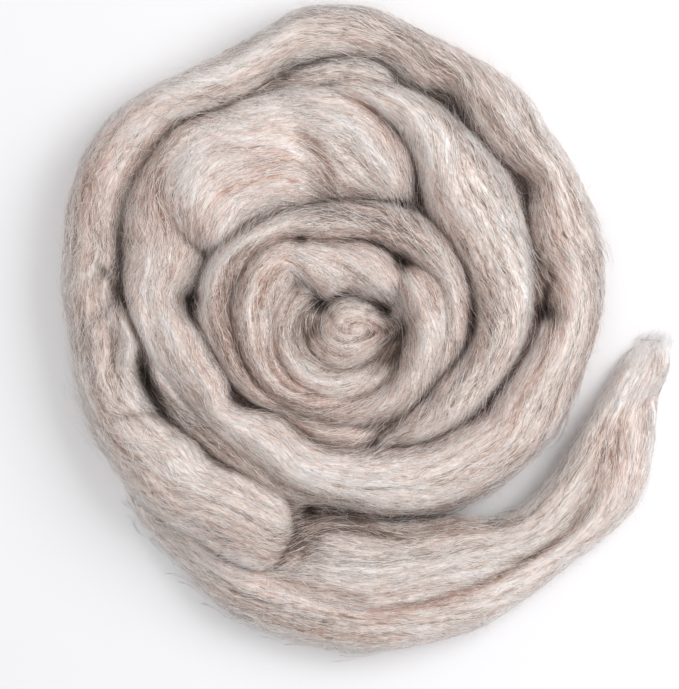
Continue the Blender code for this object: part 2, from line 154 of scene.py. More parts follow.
# Stretches of the strand in the order in which they are laid. Each row is a bearing in degrees,
# clockwise from +X, then the inner radius, the outer radius and the top in mm.
Stretch = namedtuple("Stretch", "inner_side outer_side rows")
COLUMNS = ("bearing", "inner", "outer", "top")
STRETCHES = {
    "tail_inner_lobe": Stretch(FREE, PRESSED, (
        (3, 138, 153, 8), (9, 131, 152, 13), (17, 125, 141, 18), (26, 121, 139, 22),
        (35, 120, 141, 25), (44, 119, 140, 27), (51, 114, 137, 29), (57, 103, 135, 31),
        (64, 97, 133, 32), (72, 92, 132, 33), (80, 88, 131, 33), (90, 84, 128, 32),
        (100, 84, 123, 27), (110, 86, 119, 20),
    )),
    "tail_outer_lobe": Stretch(PRESSED, FREE, (
        (12, 131, 151, 12), (20, 131, 155, 18), (26, 133, 159, 22), (31, 138, 160, 24),
        (38, 142, 157, 25), (46, 140, 153, 25), (55, 135, 152, 26), (64, 133, 153, 26),
        (73, 131, 151, 26), (82, 127, 150, 26), (91, 121, 147, 26), (100, 116, 143, 26),
        (110, 113, 139, 25), (120, 110, 131, 22), (130, 106, 126, 18), (141, 104, 121, 13),
    )),
    "outer_loop_left": Stretch(PRESSED, FREE, (
        (100, 84, 116, 36), (105, 80, 118, 41), (113, 79, 118, 43), (122, 79, 116, 42),
        (131, 82, 118, 40), (140, 81, 119, 40), (150, 87, 119, 37), (158, 90, 119, 35),
        (165, 91, 119, 35), (173, 89, 119, 36), (180, 92, 120, 36), (188, 98, 124, 34),
        (197, 101, 127, 35), (206, 108, 132, 34), (215, 111, 136, 34), (223, 112, 137, 34),
        (231, 114, 135, 33), (240, 111, 132, 33), (248, 110, 132, 34), (256, 115, 136, 35),
        (264, 119, 143, 36), (272, 121, 144, 36), (279, 121, 143, 34), (286, 120, 139, 28),
    )),
    "outer_loop_right": Stretch(PRESSED, FREE, (
        (276, 122, 140, 28), (283, 118, 139, 34), (290, 113, 137, 36), (297, 117, 136, 34),
        (304, 109, 136, 38), (311, 105, 135, 38), (318, 107, 131, 34), (325, 109, 130, 34),
        (331, 102, 129, 38), (338, 98, 127, 37), (346, 98, 125, 36), (355, 98, 122, 38),
        (363, 92, 119, 39), (372, 89, 115, 38), (382, 88, 112, 33),
    )),
    "second_turn_lower": Stretch(PRESSED, FREE, (
        (-12, 103, 120, 26), (-1, 95, 118, 34), (10, 88, 115, 40), (21, 82, 113, 41),
        (31, 79, 110, 43), (41, 73, 107, 44), (51, 69, 103, 45), (61, 64, 98, 45), (71, 60, 92, 45),
        (82, 57, 86, 45), (93, 55, 82, 45), (105, 51, 78, 44), (117, 47, 74, 44), (128, 50, 73, 44),
        (137, 56, 73, 45), (144, 57, 74, 46), (153, 52, 76, 45), (165, 53, 82, 44),
        (175, 56, 87, 44), (183, 65, 92, 44), (190, 68, 96, 44), (198, 63, 100, 44),
        (207, 64, 106, 42), (215, 78, 110, 40), (223, 92, 112, 38), (232, 99, 113, 37),
        (242, 99, 109, 35), (250, 98, 107, 31),
    )),
    "second_turn_shoulder": Stretch(PRESSED, PRESSED, (
        (88, 73, 84, 30), (101, 71, 82, 34), (116, 69, 79, 35), (130, 69, 79, 35),
        (144, 70, 82, 35), (158, 73, 86, 35), (172, 80, 88, 31),
    )),
    "bedded_turn": Stretch(PRESSED, PRESSED, (
        (64, 92, 103, 16), (76, 85, 96, 20), (91, 79, 91, 25), (110, 73, 88, 27), (130, 72, 90, 27),
        (150, 76, 96, 27), (170, 80, 98, 27), (190, 90, 106, 27), (210, 100, 118, 26),
        (230, 106, 121, 25), (250, 104, 119, 24), (263, 107, 124, 24), (276, 111, 126, 24),
        (289, 104, 121, 24), (301, 103, 122, 22), (313, 98, 112, 24), (325, 96, 114, 22),
        (338, 90, 106, 24), (352, 86, 104, 25), (366, 82, 98, 26), (380, 76, 88, 24),
    )),
    "left_fold": Stretch(PRESSED, PRESSED, (
        (206, 60, 82, 40), (213, 59, 93, 46), (221, 57, 102, 48), (230, 57, 106, 47),
        (240, 55, 107, 45), (249, 53, 107, 44), (257, 53, 104, 42), (266, 55, 98, 36),
    )),
    "right_fold": Stretch(PRESSED, PRESSED, (
        (255, 60, 107, 36), (264, 55, 107, 43), (272, 54, 104, 45), (280, 55, 99, 45),
        (287, 57, 92, 44), (295, 59, 83, 42), (303, 61, 72, 36),
    )),
    "top_arc": Stretch(PRESSED, PRESSED, (
        (256, 106, 112, 26), (264, 106, 116, 31), (271, 106, 119, 33), (278, 106, 119, 33),
        (287, 106, 113, 27),
    )),
    "second_turn_upper": Stretch(PRESSED, PRESSED, (
        (268, 100, 109, 34), (276, 99, 109, 39), (284, 95, 109, 43), (291, 89, 109, 45),
        (298, 80, 108, 46), (305, 71, 105, 47), (313, 65, 103, 48), (322, 63, 101, 48),
        (332, 63, 96, 48), (343, 64, 92, 48), (354, 65, 89, 48), (365, 64, 85, 48),
        (376, 60, 80, 48), (388, 55, 75, 47), (400, 54, 71, 45), (411, 53, 67, 42),
        (422, 54, 62, 36),
    )),
    "inner_ring_outer": Stretch(NESTED, NESTED, (
        (66, 47, 56, 35), (78, 45, 57, 38), (92, 43, 55, 39), (106, 41, 51, 38), (120, 41, 46, 38),
        (135, 42, 49, 41), (150, 42, 51, 43), (165, 43, 53, 45), (180, 45, 58, 47),
        (195, 47, 60, 49), (210, 47, 60, 50), (225, 47, 56, 50), (240, 45, 53, 49),
        (252, 41, 52, 48), (265, 38, 52, 47), (280, 39, 54, 47), (295, 42, 57, 48),
        (310, 44, 60, 49), (325, 47, 61, 49), (340, 50, 61, 48), (355, 50, 59, 47),
        (370, 49, 57, 45), (384, 47, 53, 42), (398, 45, 50, 36),
    )),
    "inner_ring_middle": Stretch(NESTED, NESTED, (
        (316, 38, 44, 38), (327, 33, 48, 46), (340, 33, 50, 51), (353, 34, 50, 53),
        (367, 36, 50, 54), (381, 36, 49, 53), (395, 38, 49, 51), (409, 38, 49, 49),
        (423, 37, 47, 48), (438, 36, 45, 47), (454, 34, 43, 46), (470, 32, 42, 46),
        (486, 31, 42, 47), (502, 30, 42, 48), (518, 29, 43, 49), (534, 27, 44, 50),
        (550, 26, 46, 51), (566, 26, 47, 52), (580, 26, 47, 52), (592, 26, 45, 51),
        (603, 27, 42, 47),
    )),
    "crossing_lock": Stretch(NESTED, NESTED, (
        (588, 27, 40, 44), (598, 20, 41, 48), (608, 15, 40, 50), (622, 13, 37, 50),
        (638, 14, 36, 50), (653, 16, 37, 51), (668, 18, 38, 51), (682, 20, 37, 49),
        (696, 24, 34, 42),
    )),
    "inner_ring_heart": Stretch(NESTED, NESTED, (
        (386, 27, 35, 31), (402, 26, 36, 37), (418, 25, 36, 41), (436, 23, 35, 44),
        (456, 21, 34, 45), (478, 19, 32, 46), (502, 18, 30, 46), (528, 17, 28, 45),
        (554, 16, 26, 44), (582, 15, 25, 39),
    )),
    "heart_curl": Stretch(PRESSED, NESTED, (
        (345, 4, 18, 36), (375, 4, 19, 40), (405, 4, 21, 42), (435, 4, 21, 42), (465, 4, 19, 41),
        (495, 4, 17, 39), (525, 4, 14, 34),
    )),
}

# Wool tucked into the middle.
Lump = namedtuple("Lump", "bearing radius width top")
LUMPS = {
    "tucked_start": Lump(0, 0, 144, 32),
    "heart_end": Lump(20, 9, 34, 42),
}

TAIL = ("tail_inner_lobe", "tail_outer_lobe")
HEIGHTS = ("coil", "tail", "height")         # the map's heights: of each part, and of both

# How far a stretch runs on past its first and last row, under its neighbours, in mm.
SPILLS = {
    "left_fold": (0, 16),
    "right_fold": (16, 0),
    "inner_ring_middle": (0, 14),
    "crossing_lock": (12, 12),
    "inner_ring_heart": (0, 12),
    "second_turn_upper": (0, 10),
}

# Colour of each stretch: tone (0 dark to 1 white) and tint (0 cool grey, 0.5 cream, 1 rust).
COLOURS = {
    "tail_inner_lobe": (0.71, 0.44),
    "tail_outer_lobe": (0.81, 0.53),
    "outer_loop_left": (0.79, 0.46),
    "outer_loop_right": (0.71, 0.50),
    "second_turn_lower": (0.72, 0.60),
    "second_turn_shoulder": (0.76, 0.50),
    "bedded_turn": (0.56, 0.50),
    "left_fold": (0.94, 0.52),
    "right_fold": (0.82, 0.51),
    "top_arc": (0.73, 0.40),
    "second_turn_upper": (0.79, 0.50),
    "inner_ring_outer": (0.69, 0.42),
    "inner_ring_middle": (0.72, 0.51),
    "crossing_lock": (0.79, 0.44),
    "inner_ring_heart": (0.74, 0.51),
    "heart_curl": (0.74, 0.50),
    "tucked_start": (0.50, 0.50),
    "heart_end": (0.74, 0.50),
}

# Streaks of one colour along a stretch, two of them on the tail painted light and shade:
#   first, last   degrees
#   across        -1 at the inner edge to 1 at the outer edge
#   width         in the same share
#   tone          change of tone
#   tint          its own tint
STREAK_ENDS = 1.6            # above 1, a streak is full for longer before its ends fade
Streak = namedtuple("Streak", "stretch first last across width tone tint")
STREAKS = (
    Streak("tail_outer_lobe", 35, 100, -0.75, 0.22, -0.08, 1.0),
    Streak("tail_outer_lobe", 100, 128, -0.1, 0.25, -0.05, 0.95),
    Streak("tail_outer_lobe", 14, 32, -0.6, 0.5, -0.14, 0.85),
    Streak("tail_inner_lobe", 45, 66, -0.7, 0.25, -0.08, 0.75),
    Streak("outer_loop_left", 200, 245, 0.5, 0.3, -0.02, 0.75),
    Streak("outer_loop_left", 205, 290, 0.0, 1.2, 0.07, 0.40),
    Streak("second_turn_lower", 205, 228, 0.0, 0.5, -0.10, 0.75),
    Streak("left_fold", 206, 222, 0.3, 0.8, -0.12, 0.80),
    Streak("left_fold", 215, 262, -0.2, 0.3, 0.0, 0.70),
    Streak("right_fold", 270, 300, 0.9, 0.3, -0.10, 0.95),
    Streak("second_turn_upper", 276, 306, -0.85, 0.2, 0.10, 0.10),
    Streak("second_turn_upper", 310, 370, 0.6, 0.3, 0.10, 0.20),
    Streak("second_turn_lower", 40, 110, 0.0, 0.5, 0.08, 0.30),
    Streak("inner_ring_middle", 440, 540, -0.8, 0.25, -0.06, 0.95),
    Streak("inner_ring_middle", 350, 420, 0.1, 0.5, 0.10, 0.35),
    # Painted shadow where the tail starts beside the coil.
    Streak("tail_inner_lobe", 92, 110, 0.0, 1.0, -0.12, 0.60),
    # Painted light on the tip, which lies in shade.
    Streak("tail_inner_lobe", 3, 22, 0.0, 1.2, 0.14, 0.50),
    Streak("second_turn_lower", 165, 205, 0.1, 0.25, 0.10, 0.35),
    Streak("inner_ring_heart", 440, 560, 0.5, 0.4, -0.02, 0.75),
)

# Places where the comb turns from its strand's way, as lines of (x, y) in mm from the middle
# of the coil, with the distance over which each is followed.
GUIDE_PULL = 6.0             # times as strong as the strand's own comb
GUIDE_FADE = 0.03            # share of a guide's length over which its ends fade
Guide = namedtuple("Guide", "width path")
GUIDES = {
    "top_swirl_outer": Guide(7, (
        (-76, 82), (-66, 91), (-52, 95), (-37, 99), (-20, 102), (-4, 101), (9, 97), (20, 89),
        (28, 79), (34, 69), (37, 59))),
    "top_swirl_arch": Guide(7, (
        (-74, 51), (-76, 63), (-73, 74), (-66, 84), (-54, 90), (-37, 91), (-22, 90), (-12, 85),
        (-6, 77), (-3, 68), (1, 59), (9, 54))),
    "top_swirl_inner": Guide(6, (
        (-66, 41), (-68, 56), (-63, 69), (-55, 77), (-44, 79), (-29, 78), (-16, 73), (-8, 65),
        (-3, 58))),
    "top_swirl_heart": Guide(6, (
        (-58, 35), (-56, 46), (-50, 55), (-42, 61), (-30, 64), (-20, 62), (-12, 58), (-4, 56))),
    "top_swirl_foot": Guide(5, (
        (-52, 35), (-47, 45), (-39, 53), (-27, 58), (-14, 56), (0, 54), (17, 53))),
    "right_fold_upper": Guide(6, (
        (-20, 102), (-4, 95), (9, 86), (20, 76), (30, 66), (34, 56))),
    "right_fold_lower": Guide(6, ((-12, 89), (0, 82), (11, 72), (20, 63), (26, 54))),
    "crossing_upper": Guide(4, ((-2, 34), (7, 31), (15, 28), (24, 23), (29, 16), (32, 8))),
    "crossing_middle": Guide(4, (
        (-14, 32), (-6, 29), (3, 25), (12, 20), (20, 15), (27, 10), (31, 4))),
    "crossing_lower": Guide(4, ((-16, 29), (-11, 25), (-3, 21), (5, 17), (13, 13), (20, 10))),
    "crossing_foot": Guide(4, ((-17, 26), (-13, 20), (-8, 15), (-3, 13), (2, 13))),
    "curl_outer": Guide(4, (
        (-6, 8), (-6, 0), (-2, -8), (6, -13), (16, -12), (25, -7), (31, 0), (32, 8))),
    "curl_middle": Guide(3, ((0, -6), (6, -9), (14, -9), (22, -7), (28, -4))),
    "heart_arch": Guide(4, ((-4, 0), (1, 7), (8, 10), (18, 9), (26, 5), (31, -1))),
    "heart_arch_low": Guide(4, ((-1, -4), (5, 2), (14, 4), (23, 1), (29, -4))),
    "tail_start_upper": Guide(5, ((20, -90), (9, -87), (-3, -86), (-12, -90), (-17, -95))),
    "tail_start_middle": Guide(5, (
        (43, -99), (26, -98), (11, -95), (0, -94), (-9, -97), (-17, -104))),
    "tail_start_lower": Guide(6, (
        (37, -101), (20, -101), (6, -102), (-9, -104), (-18, -108))),
}

# Creases pressed into the wool, along lines of (x, y) in mm from the middle of the coil. Each
# crease's tone is painted shade, darker in the crease, and its tint gives that shade its colour;
# along tail_brown_streak and right_fold_seam the tint is also the wool's own rust.
Crease = namedtuple("Crease", "width depth tone tint path")
CREASES = {
    "under_blunt_end": Crease(4.0, 5.0, -0.16, 0.5, ((-14, -81), (-10, -85), (3, -84), (14, -86))),
    "tail_lip": Crease(1.6, 2.6, -0.14, 0.6, (
        (-8, -95), (0, -92), (9, -93), (20, -94), (32, -97), (43, -97))),
    "tail_groove": Crease(2.6, 3.0, -0.12, 0.6, ((23, -86), (32, -86), (43, -86), (53, -84))),
    "blunt_end_fold": Crease(5.0, 1.6, -0.10, 0.4, ((-17, -90), (-15, -98), (-14, -108))),
    "blunt_end_shelf": Crease(2.0, 2.8, -0.10, 0.45, (
        (-101, -45), (-93, -42), (-86, -41), (-78, -42), (-70, -45))),
    "crossing_seam": Crease(1.3, 1.6, -0.08, 0.7, ((-5, 29), (4, 26), (11, 21), (18, 15))),
    "heart_groove": Crease(2.4, 3.8, -0.14, 0.6, (
        (36, 5), (34, 0), (31, -5), (26, -8), (22, -11), (19, -15))),
    "under_groove": Crease(2.6, 2.5, -0.16, 0.75, (
        (36, -4), (32, -10), (27, -15), (21, -20), (16, -24))),
    "curl_brow": Crease(1.8, 2.4, -0.06, 0.6, (
        (-7, 9), (-1, 10), (4, 13), (8, 15), (13, 14), (18, 10), (22, 9))),
    "curl_side": Crease(1.5, 1.4, -0.08, 0.6, (
        (-6, 8), (-2, 5), (1, -2), (8, -5), (18, -5), (27, -2), (31, 3))),
    "ring_top_seam": Crease(1.6, 2.4, -0.10, 0.5, ((-17, 38), (-7, 36), (1, 35), (10, 36))),
    "second_turn_inner_shade": Crease(4.0, 1.0, -0.10, 0.6, (
        (26, 45), (33, 43), (41, 42))),
    "ring_right_seam": Crease(1.2, 2.0, -0.10, 0.6, ((26, 36), (32, 36), (37, 33), (42, 29))),
    "swirl_brow": Crease(2.0, 2.0, -0.08, 0.5, ((-58, 77), (-50, 79), (-42, 79))),
    "right_fold_seam": Crease(2.0, 1.8, -0.06, 1.0, (
        (9, 102), (18, 95), (25, 85), (32, 73), (36, 61))),
    "fold_seam": Crease(3.6, 1.8, -0.10, 1.0, ((-16, 86), (-8, 79), (-3, 70), (-2, 58))),
    "left_swirl_dip": Crease(7.0, 3.0, -0.10, 0.75, ((-72, 60), (-70, 50), (-64, 41), (-57, 35))),
    "outer_groove_top": Crease(4.0, 4.0, -0.12, 0.6, ((42, 103), (52, 97), (61, 89))),
    "outer_groove_right": Crease(4.0, 5.0, -0.14, 0.6, ((83, 68), (86, 60), (87, 52))),
    "outer_fold_right": Crease(1.6, 3.5, -0.12, 0.6, ((97, 28), (98, 19), (96, 10), (99, 5))),
    "left_groove_upper": Crease(1.6, 3.0, -0.10, 0.5, (
        (-95, 45), (-96, 33), (-95, 15), (-91, 3), (-88, -8))),
    "left_groove_pit": Crease(3.0, 14.0, -0.26, 0.5, (
        (-87, -15), (-85, -20), (-83, -27), (-79, -33), (-77, -38), (-74, -42))),
    "left_groove_lower": Crease(1.6, 2.0, -0.06, 0.5, (
        (-72, -44), (-61, -52), (-54, -62), (-44, -66), (-33, -69))),
    "outer_left_ridge": Crease(3.0, 3.0, -0.06, 0.4, (
        (-116, 16), (-109, 19), (-102, 23), (-97, 26))),
    "outer_left_lobe": Crease(2.4, 2.6, -0.06, 0.4, (
        (-113, -4), (-106, 1), (-100, 8), (-98, 16))),
    "outer_left_twist": Crease(1.8, 2.6, -0.09, 0.45, (
        (-107, 28), (-101, 21), (-96, 13), (-93, 6))),
    "outer_left_line": Crease(1.8, 1.8, -0.06, 0.55, (
        (-102, 6), (-100, -6), (-98, -20), (-95, -32))),
    "tail_dark_line": Crease(1.3, 1.4, -0.10, 0.6, (
        (58, -122), (77, -113), (92, -104), (103, -97))),
    "tail_brown_streak": Crease(3.0, 1.2, -0.12, 1.0, (
        (126, -38), (122, -48), (119, -59), (114, -72))),
    "tail_start_shade": Crease(5.0, 0.5, -0.10, 0.35, ((-6, -90), (-7, -98), (-8, -108))),
}

# Locks that stand out from the wool around them, in the same columns, raised where the depth is
# below zero. Their tone is partly each lock's own colour and partly painted light: lower_shoulder,
# tip_bloom and tip_end are painted paler where the wool lies in shade.
LOCKS = {
    "heart_foot": Crease(3.4, -2.5, 0.04, 0.5, ((-2, -5), (5, -10), (14, -12), (23, -9), (28, -4))),
    "outer_left_bulge": Crease(3.8, -9.0, 0.06, 0.4, (
        (-95, 10), (-93, 3), (-91, -4), (-90, -11), (-92, -19))),
    "left_flank": Crease(3.6, -5.0, 0.06, 0.60, (
        (-90, 20), (-88, 10), (-86, 1), (-84, -10), (-79, -22), (-73, -33))),
    # Painted light on the lower shoulder, which lies in shade.
    "lower_shoulder": Crease(8.0, -1.5, 0.20, 0.60, (
        (4, -68), (-6, -67), (-17, -65), (-31, -59), (-43, -51), (-50, -43))),
    "right_fold_rust": Crease(3.6, 0.0, -0.05, 1.1, (
        (3, 104), (13, 98), (22, 87), (29, 76), (35, 62))),
    "right_fold_band": Crease(3.6, -0.8, 0.12, 0.1, (
        (-32, 101), (-15, 99), (3, 92), (16, 81), (25, 69), (29, 59))),
    "ring_top_band": Crease(2.8, -0.8, 0.22, 0.1, (
        (-58, 2), (-56, 14), (-51, 26), (-43, 34), (-34, 39), (-22, 44), (-10, 47))),
    "ring_right_band": Crease(4.0, -0.5, 0.16, 0.3, (
        (48, 32), (51, 22), (51, 10), (47, -3), (41, -14))),
    "outer_left_lock": Crease(3.0, -1.2, 0.10, 0.3, (
        (-122, 14), (-115, 18), (-107, 23), (-101, 30))),
    "tail_pale_lock": Crease(2.0, -1.0, 0.09, 0.4, (
        (117, -45), (129, -37), (140, -31), (147, -25))),
    "tail_white_lock": Crease(1.8, -0.8, 0.16, 0.1, (
        (57, -116), (75, -107), (92, -98), (107, -89))),
    "left_groove_wisps": Crease(3.4, -3.5, 0.12, 0.45, (
        (-92, 10), (-90.5, 0), (-90, -8), (-90, -16), (-88, -24), (-87, -34))),
    "right_groove_wisps": Crease(3.0, -1.6, 0.08, 0.5, ((61, 34), (63.5, 22), (64, 12))),
    "tip_tan": Crease(4.0, 0.0, -0.15, 0.9, ((134, -12), (131, -20), (127, -28), (122, -36))),
    # Painted light on the tip, whose flank faces away from the key light.
    "tip_bloom": Crease(10.0, 0.0, 0.11, 0.60, ((146, -4), (141, -17), (134, -28), (127, -40))),
    "tip_flank": Crease(2.4, 0.0, -0.22, 0.70, (
        (153, -6), (149, -18), (145.5, -28), (144.5, -38), (147, -50))),
    # Painted light on the end of the tip, which is grey in shade.
    "tip_end": Crease(6.0, 0.0, 0.13, 0.62, ((150, -2), (146, -4), (143, -10), (139, -16))),
}

# Hollows where strands turn away from each other.
Pit = namedtuple("Pit", "x y radius depth")
PITS = {
    "heart_hole": Pit(24, 7, 3.8, 16),
    "curl_dimple": Pit(16, 5, 2.0, 3),
    "heart_pit": Pit(-5.5, 8, 3.4, 9),
    "ring_pit": Pit(30, 27, 4.0, 9),
    "ring_pit_left": Pit(-15, 37, 2.6, 5),
    "notch_pit": Pit(-62, 10, 4.0, 6),
    "blunt_pit": Pit(-10, -84, 3.2, 9),
    "outer_pit_right": Pit(96, 4, 5.0, 12),
}

# The surfaces.
DISC_RADIUS = 72.0           # mm, where the inner surface of the coil gives way to the outer
DISC_START = 0.4             # mm, radius of its first ring
DISC_ROWS = 110
RIM_ROWS = 106
TURN_COLUMNS = 520
TAIL_ROWS = 280
TAIL_CROWN = 76
WALL_ROWS = 9
WALL_INSET = 6.0             # mm that a free side draws in at its foot
WALL_BULGE = 2.2             # above 1, the side draws in late, near its foot
TAIL_SPAN = (3.0, 142.0)     # degrees
TIP_LENGTH = 9.0             # mm over which the tip of the tail narrows
TIP_THINNING = 14.0          # mm over which it thins
TIP_EASE = 30.0              # mm from the tip over which the steps in its height are eased
TIP_EASE_ROWS = 17
TIP_ROUNDNESS = 0.6
EDGE_CROWDING = 1.35         # above 1, rows crowd towards the outer edge
COIL_EASE = 4                # degrees over which the coil's outer edge is eased
TAIL_EASE = 18               # the tail's edges are eased over its length divided by this
TAIL_JOIN = 1.5              # degrees that a stretch of the tail's edges runs on past its rows
LEAST_HEIGHT = 0.3           # mm
PLACE_MARGIN = 0.01          # the unrolled grid's margin in its square of one
PLACE_SCALE = 0.97
HIDDEN_FOOT = (1.0, 0.3)     # shares of the disc's radius at the foot of its hidden wall
TIP_NARROWEST = 0.002        # squared, share of its width that the tail keeps at its tip
TIP_THINNEST = 0.02          # the same for its height, before its roundness

# Fibres.
FIBRE_SIDES = (30.0, 150.0, 270.0)           # degrees, corners of a fibre's section
FIBRE_TAPER = 0.4            # below 1, a fibre keeps its thickness for longer
FIBRE_SHADES = 0.006         # change of tone and tint along and around a fibre
SHADE_MARGIN = 0.008         # of the ramp, kept free at both ends
FLOOR_GAP = 0.05             # mm
ROOT_DEPTH = 0.3             # mm that a fibre's ends lie under the wool
WANDER = 0.12                # radians that a fibre strays at each step
WOOL_EDGE = 0.97             # place across at which a fibre is turned back
STEEPEST_SLOPE = 0.3         # the wool's upward share, under which fibres lie no thicker
DARKER_STRAYS = 0.7          # how far fibres stray to dark, against a spread of one
PALER_STRAYS = 1.1           # the same to white
UPWARDS = (0.0, 0.0, 1.0)

# Where the coil is parted, so that no piece of fibres is too large.
INNER_RADIUS = 62.0          # mm
UPPER_SLOPE = 0.35           # mm of y for each mm of x
LEFT_X = -45.0               # mm
RIGHT_X = 62.0               # mm

# Fibres combed over the top. Pairs are the least and the most.
LAID_LENGTHS = (0.5, 1.5)    # against the mean
LAID_WIDTHS = (0.7, 1.3)
LAID_ARCH = (0.3, 0.9)       # mm that a fibre rises in the middle
PALE_ARCH = 2.0              # mm that it rises further for each change of tone of one
CRIMP = 0.05                 # mm that each of its points strays up or down

# Fibres combed along the sides.
SIDE_SEED = 5
# Painted light: side fibres are painted paler than the wool above them, standing in for light
# shining through the thin wool at the sides.
SIDE_PAINTED_LIGHT = 0.22         # change of tone
SIDE_RADIUS = 128.0          # mm, at which a fibre's length is turned into degrees
SIDE_INSET = 0.4             # mm that a fibre lies further in at the foot
SIDE_WITHIN = 0.985         # share of its radius at which a fibre's colour is read
SIDE_DOWN = (-0.05, 0.97)    # share of the way down a side
SIDE_LOWEST = 0.98
SIDE_WANDER = 0.014          # share of the way down that a fibre strays at each step
SIDE_LENGTHS = (0.6, 1.8)
SIDE_WIDTHS = (0.6, 1.3)
SIDE_ARCH = (0.3, 1.1)       # mm
FreeSide = namedtuple("FreeSide", "name part span way share")
FREE_SIDES = (               # span in degrees, way 1 outwards or -1 inwards, share of the fibres
    FreeSide("coil_side", "coil", (136.0, 432.0), 1.0, 0.52),
    FreeSide("tail_outer_side", "tail", (4.0, 136.0), 1.0, 0.28),
    FreeSide("tail_inner_side", "tail", (4.0, 62.0), -1.0, 0.20),
)

# Loose ends.
FLY_EDGE = 0.80              # place across from which a loose end counts as outside
FLY_COVER = 0.95             # share of the wool around an outside place, at most
GROOVE_EDGE = 0.86           # place across from which a loose end stands in a groove
FLY_SHARES = (0.62, 0.20, 0.18)              # outside, in grooves and on crowns
FLY_LENGTHS = (0.4, 1.2)
FLY_WIDTHS = (0.6, 1.2)
FLY_BEND = 0.9               # radians along its length
FLY_SLANT = 0.42             # radians from the comb
FLY_STEEPEST = 0.3           # mm down for each mm along
FLY_RISE = 1.5               # above 1, it rises mostly at its end
# Painted light: loose ends are painted near white, partly their own pale colour and partly standing
# in for light shining through them where they would lie in shade.
FLY_TONE = (0.96, 0.06)      # mean and spread
FLY_TINTS = 0.12             # spread
FLY_SEED = 11

# The frayed tip.
FRAY_SPAN = (3.2, 13.0)      # degrees, first start and how far the starts reach
FRAY_CROWDING = 1.8          # above 1, starts crowd towards the tip
FRAY_FAN = 0.45              # radians that a fibre at the edge turns out
FRAY_TURN = 0.25             # radians, spread
FRAY_CURL = 0.5              # radians, spread at the end
FRAY_LENGTHS = (0.4, 1.3)
FRAY_WIDTHS = (0.8, 1.7)
FRAY_ENDS = (0.4, 2.8)       # degrees that the farthest ends fall short of
FRAY_LAST = 8.0              # degrees, from which fibres end short of the tip
FRAY_SLACK = 1.1             # times its way round that a fibre may be long
FRAY_HEIGHTS = (0.2, 0.9)    # share of the wool's height that a fibre starts at
FRAY_DROP = 0.7              # share of its height that it loses
FRAY_LIFT = 0.4              # mm that it stays above the floor
FRAY_RISE = (1.5, 0.6)       # mm that it curls up, and the share lost again at its end
# Painted light: frayed fibres are painted near white, partly their own pale colour and partly
# standing in for light shining through the thin tip.
FRAY_FADE = 0.2              # its tone falls short of white by this at most
FRAY_TINT = (0.50, 0.12)     # mean and spread
FRAY_SEED = 23


def linear(hex_colour):
    """An sRGB hex colour as linear red, green and blue."""
    parts = [int(hex_colour[i:i + 2], 16) / 255 for i in (1, 3, 5)]
    return [c / 12.92 if c <= 0.04045 else ((c + 0.055) / 1.055) ** 2.4 for c in parts]


# ---------------------------------------------------------------- the map of the wool


def smooth_line(rows, per_row=12):
    """A Catmull-Rom curve through the rows of a table, as an array of rows."""
    table = np.array(rows, dtype=float)
    last = len(table) - 1
    place = np.linspace(0.0, last, last * per_row + 1)
    low = np.minimum(place.astype(int), last - 1)
    part = (place - low)[:, None]
    before = table[np.maximum(low - 1, 0)]
    start = table[low]
    end = table[low + 1]
    after = table[np.minimum(low + 2, last)]
    bend = 3 * (start - end) + after - before
    slope = 2 * before - 5 * start + 4 * end - after + part * bend
    return start + 0.5 * part * (end - before + part * slope)


def strand_columns(name):
    """The smooth table of a stretch as a dictionary of columns, its sides pressed out."""
    stretch = STRETCHES[name]
    columns = dict(zip(COLUMNS, smooth_line(stretch.rows).T))
    columns["inner"] = columns["inner"] - stretch.inner_side
    columns["outer"] = columns["outer"] + stretch.outer_side
    return columns


def place_at(radius, angle):
    """The place at a radius and a bearing in radians, which runs clockwise from +X."""
    return radius * np.cos(angle), -radius * np.sin(angle)


def unit(x, y):
    """Two components scaled to a length of one."""
    size = np.maximum(np.hypot(x, y), 1e-9)
    return x / size, y / size


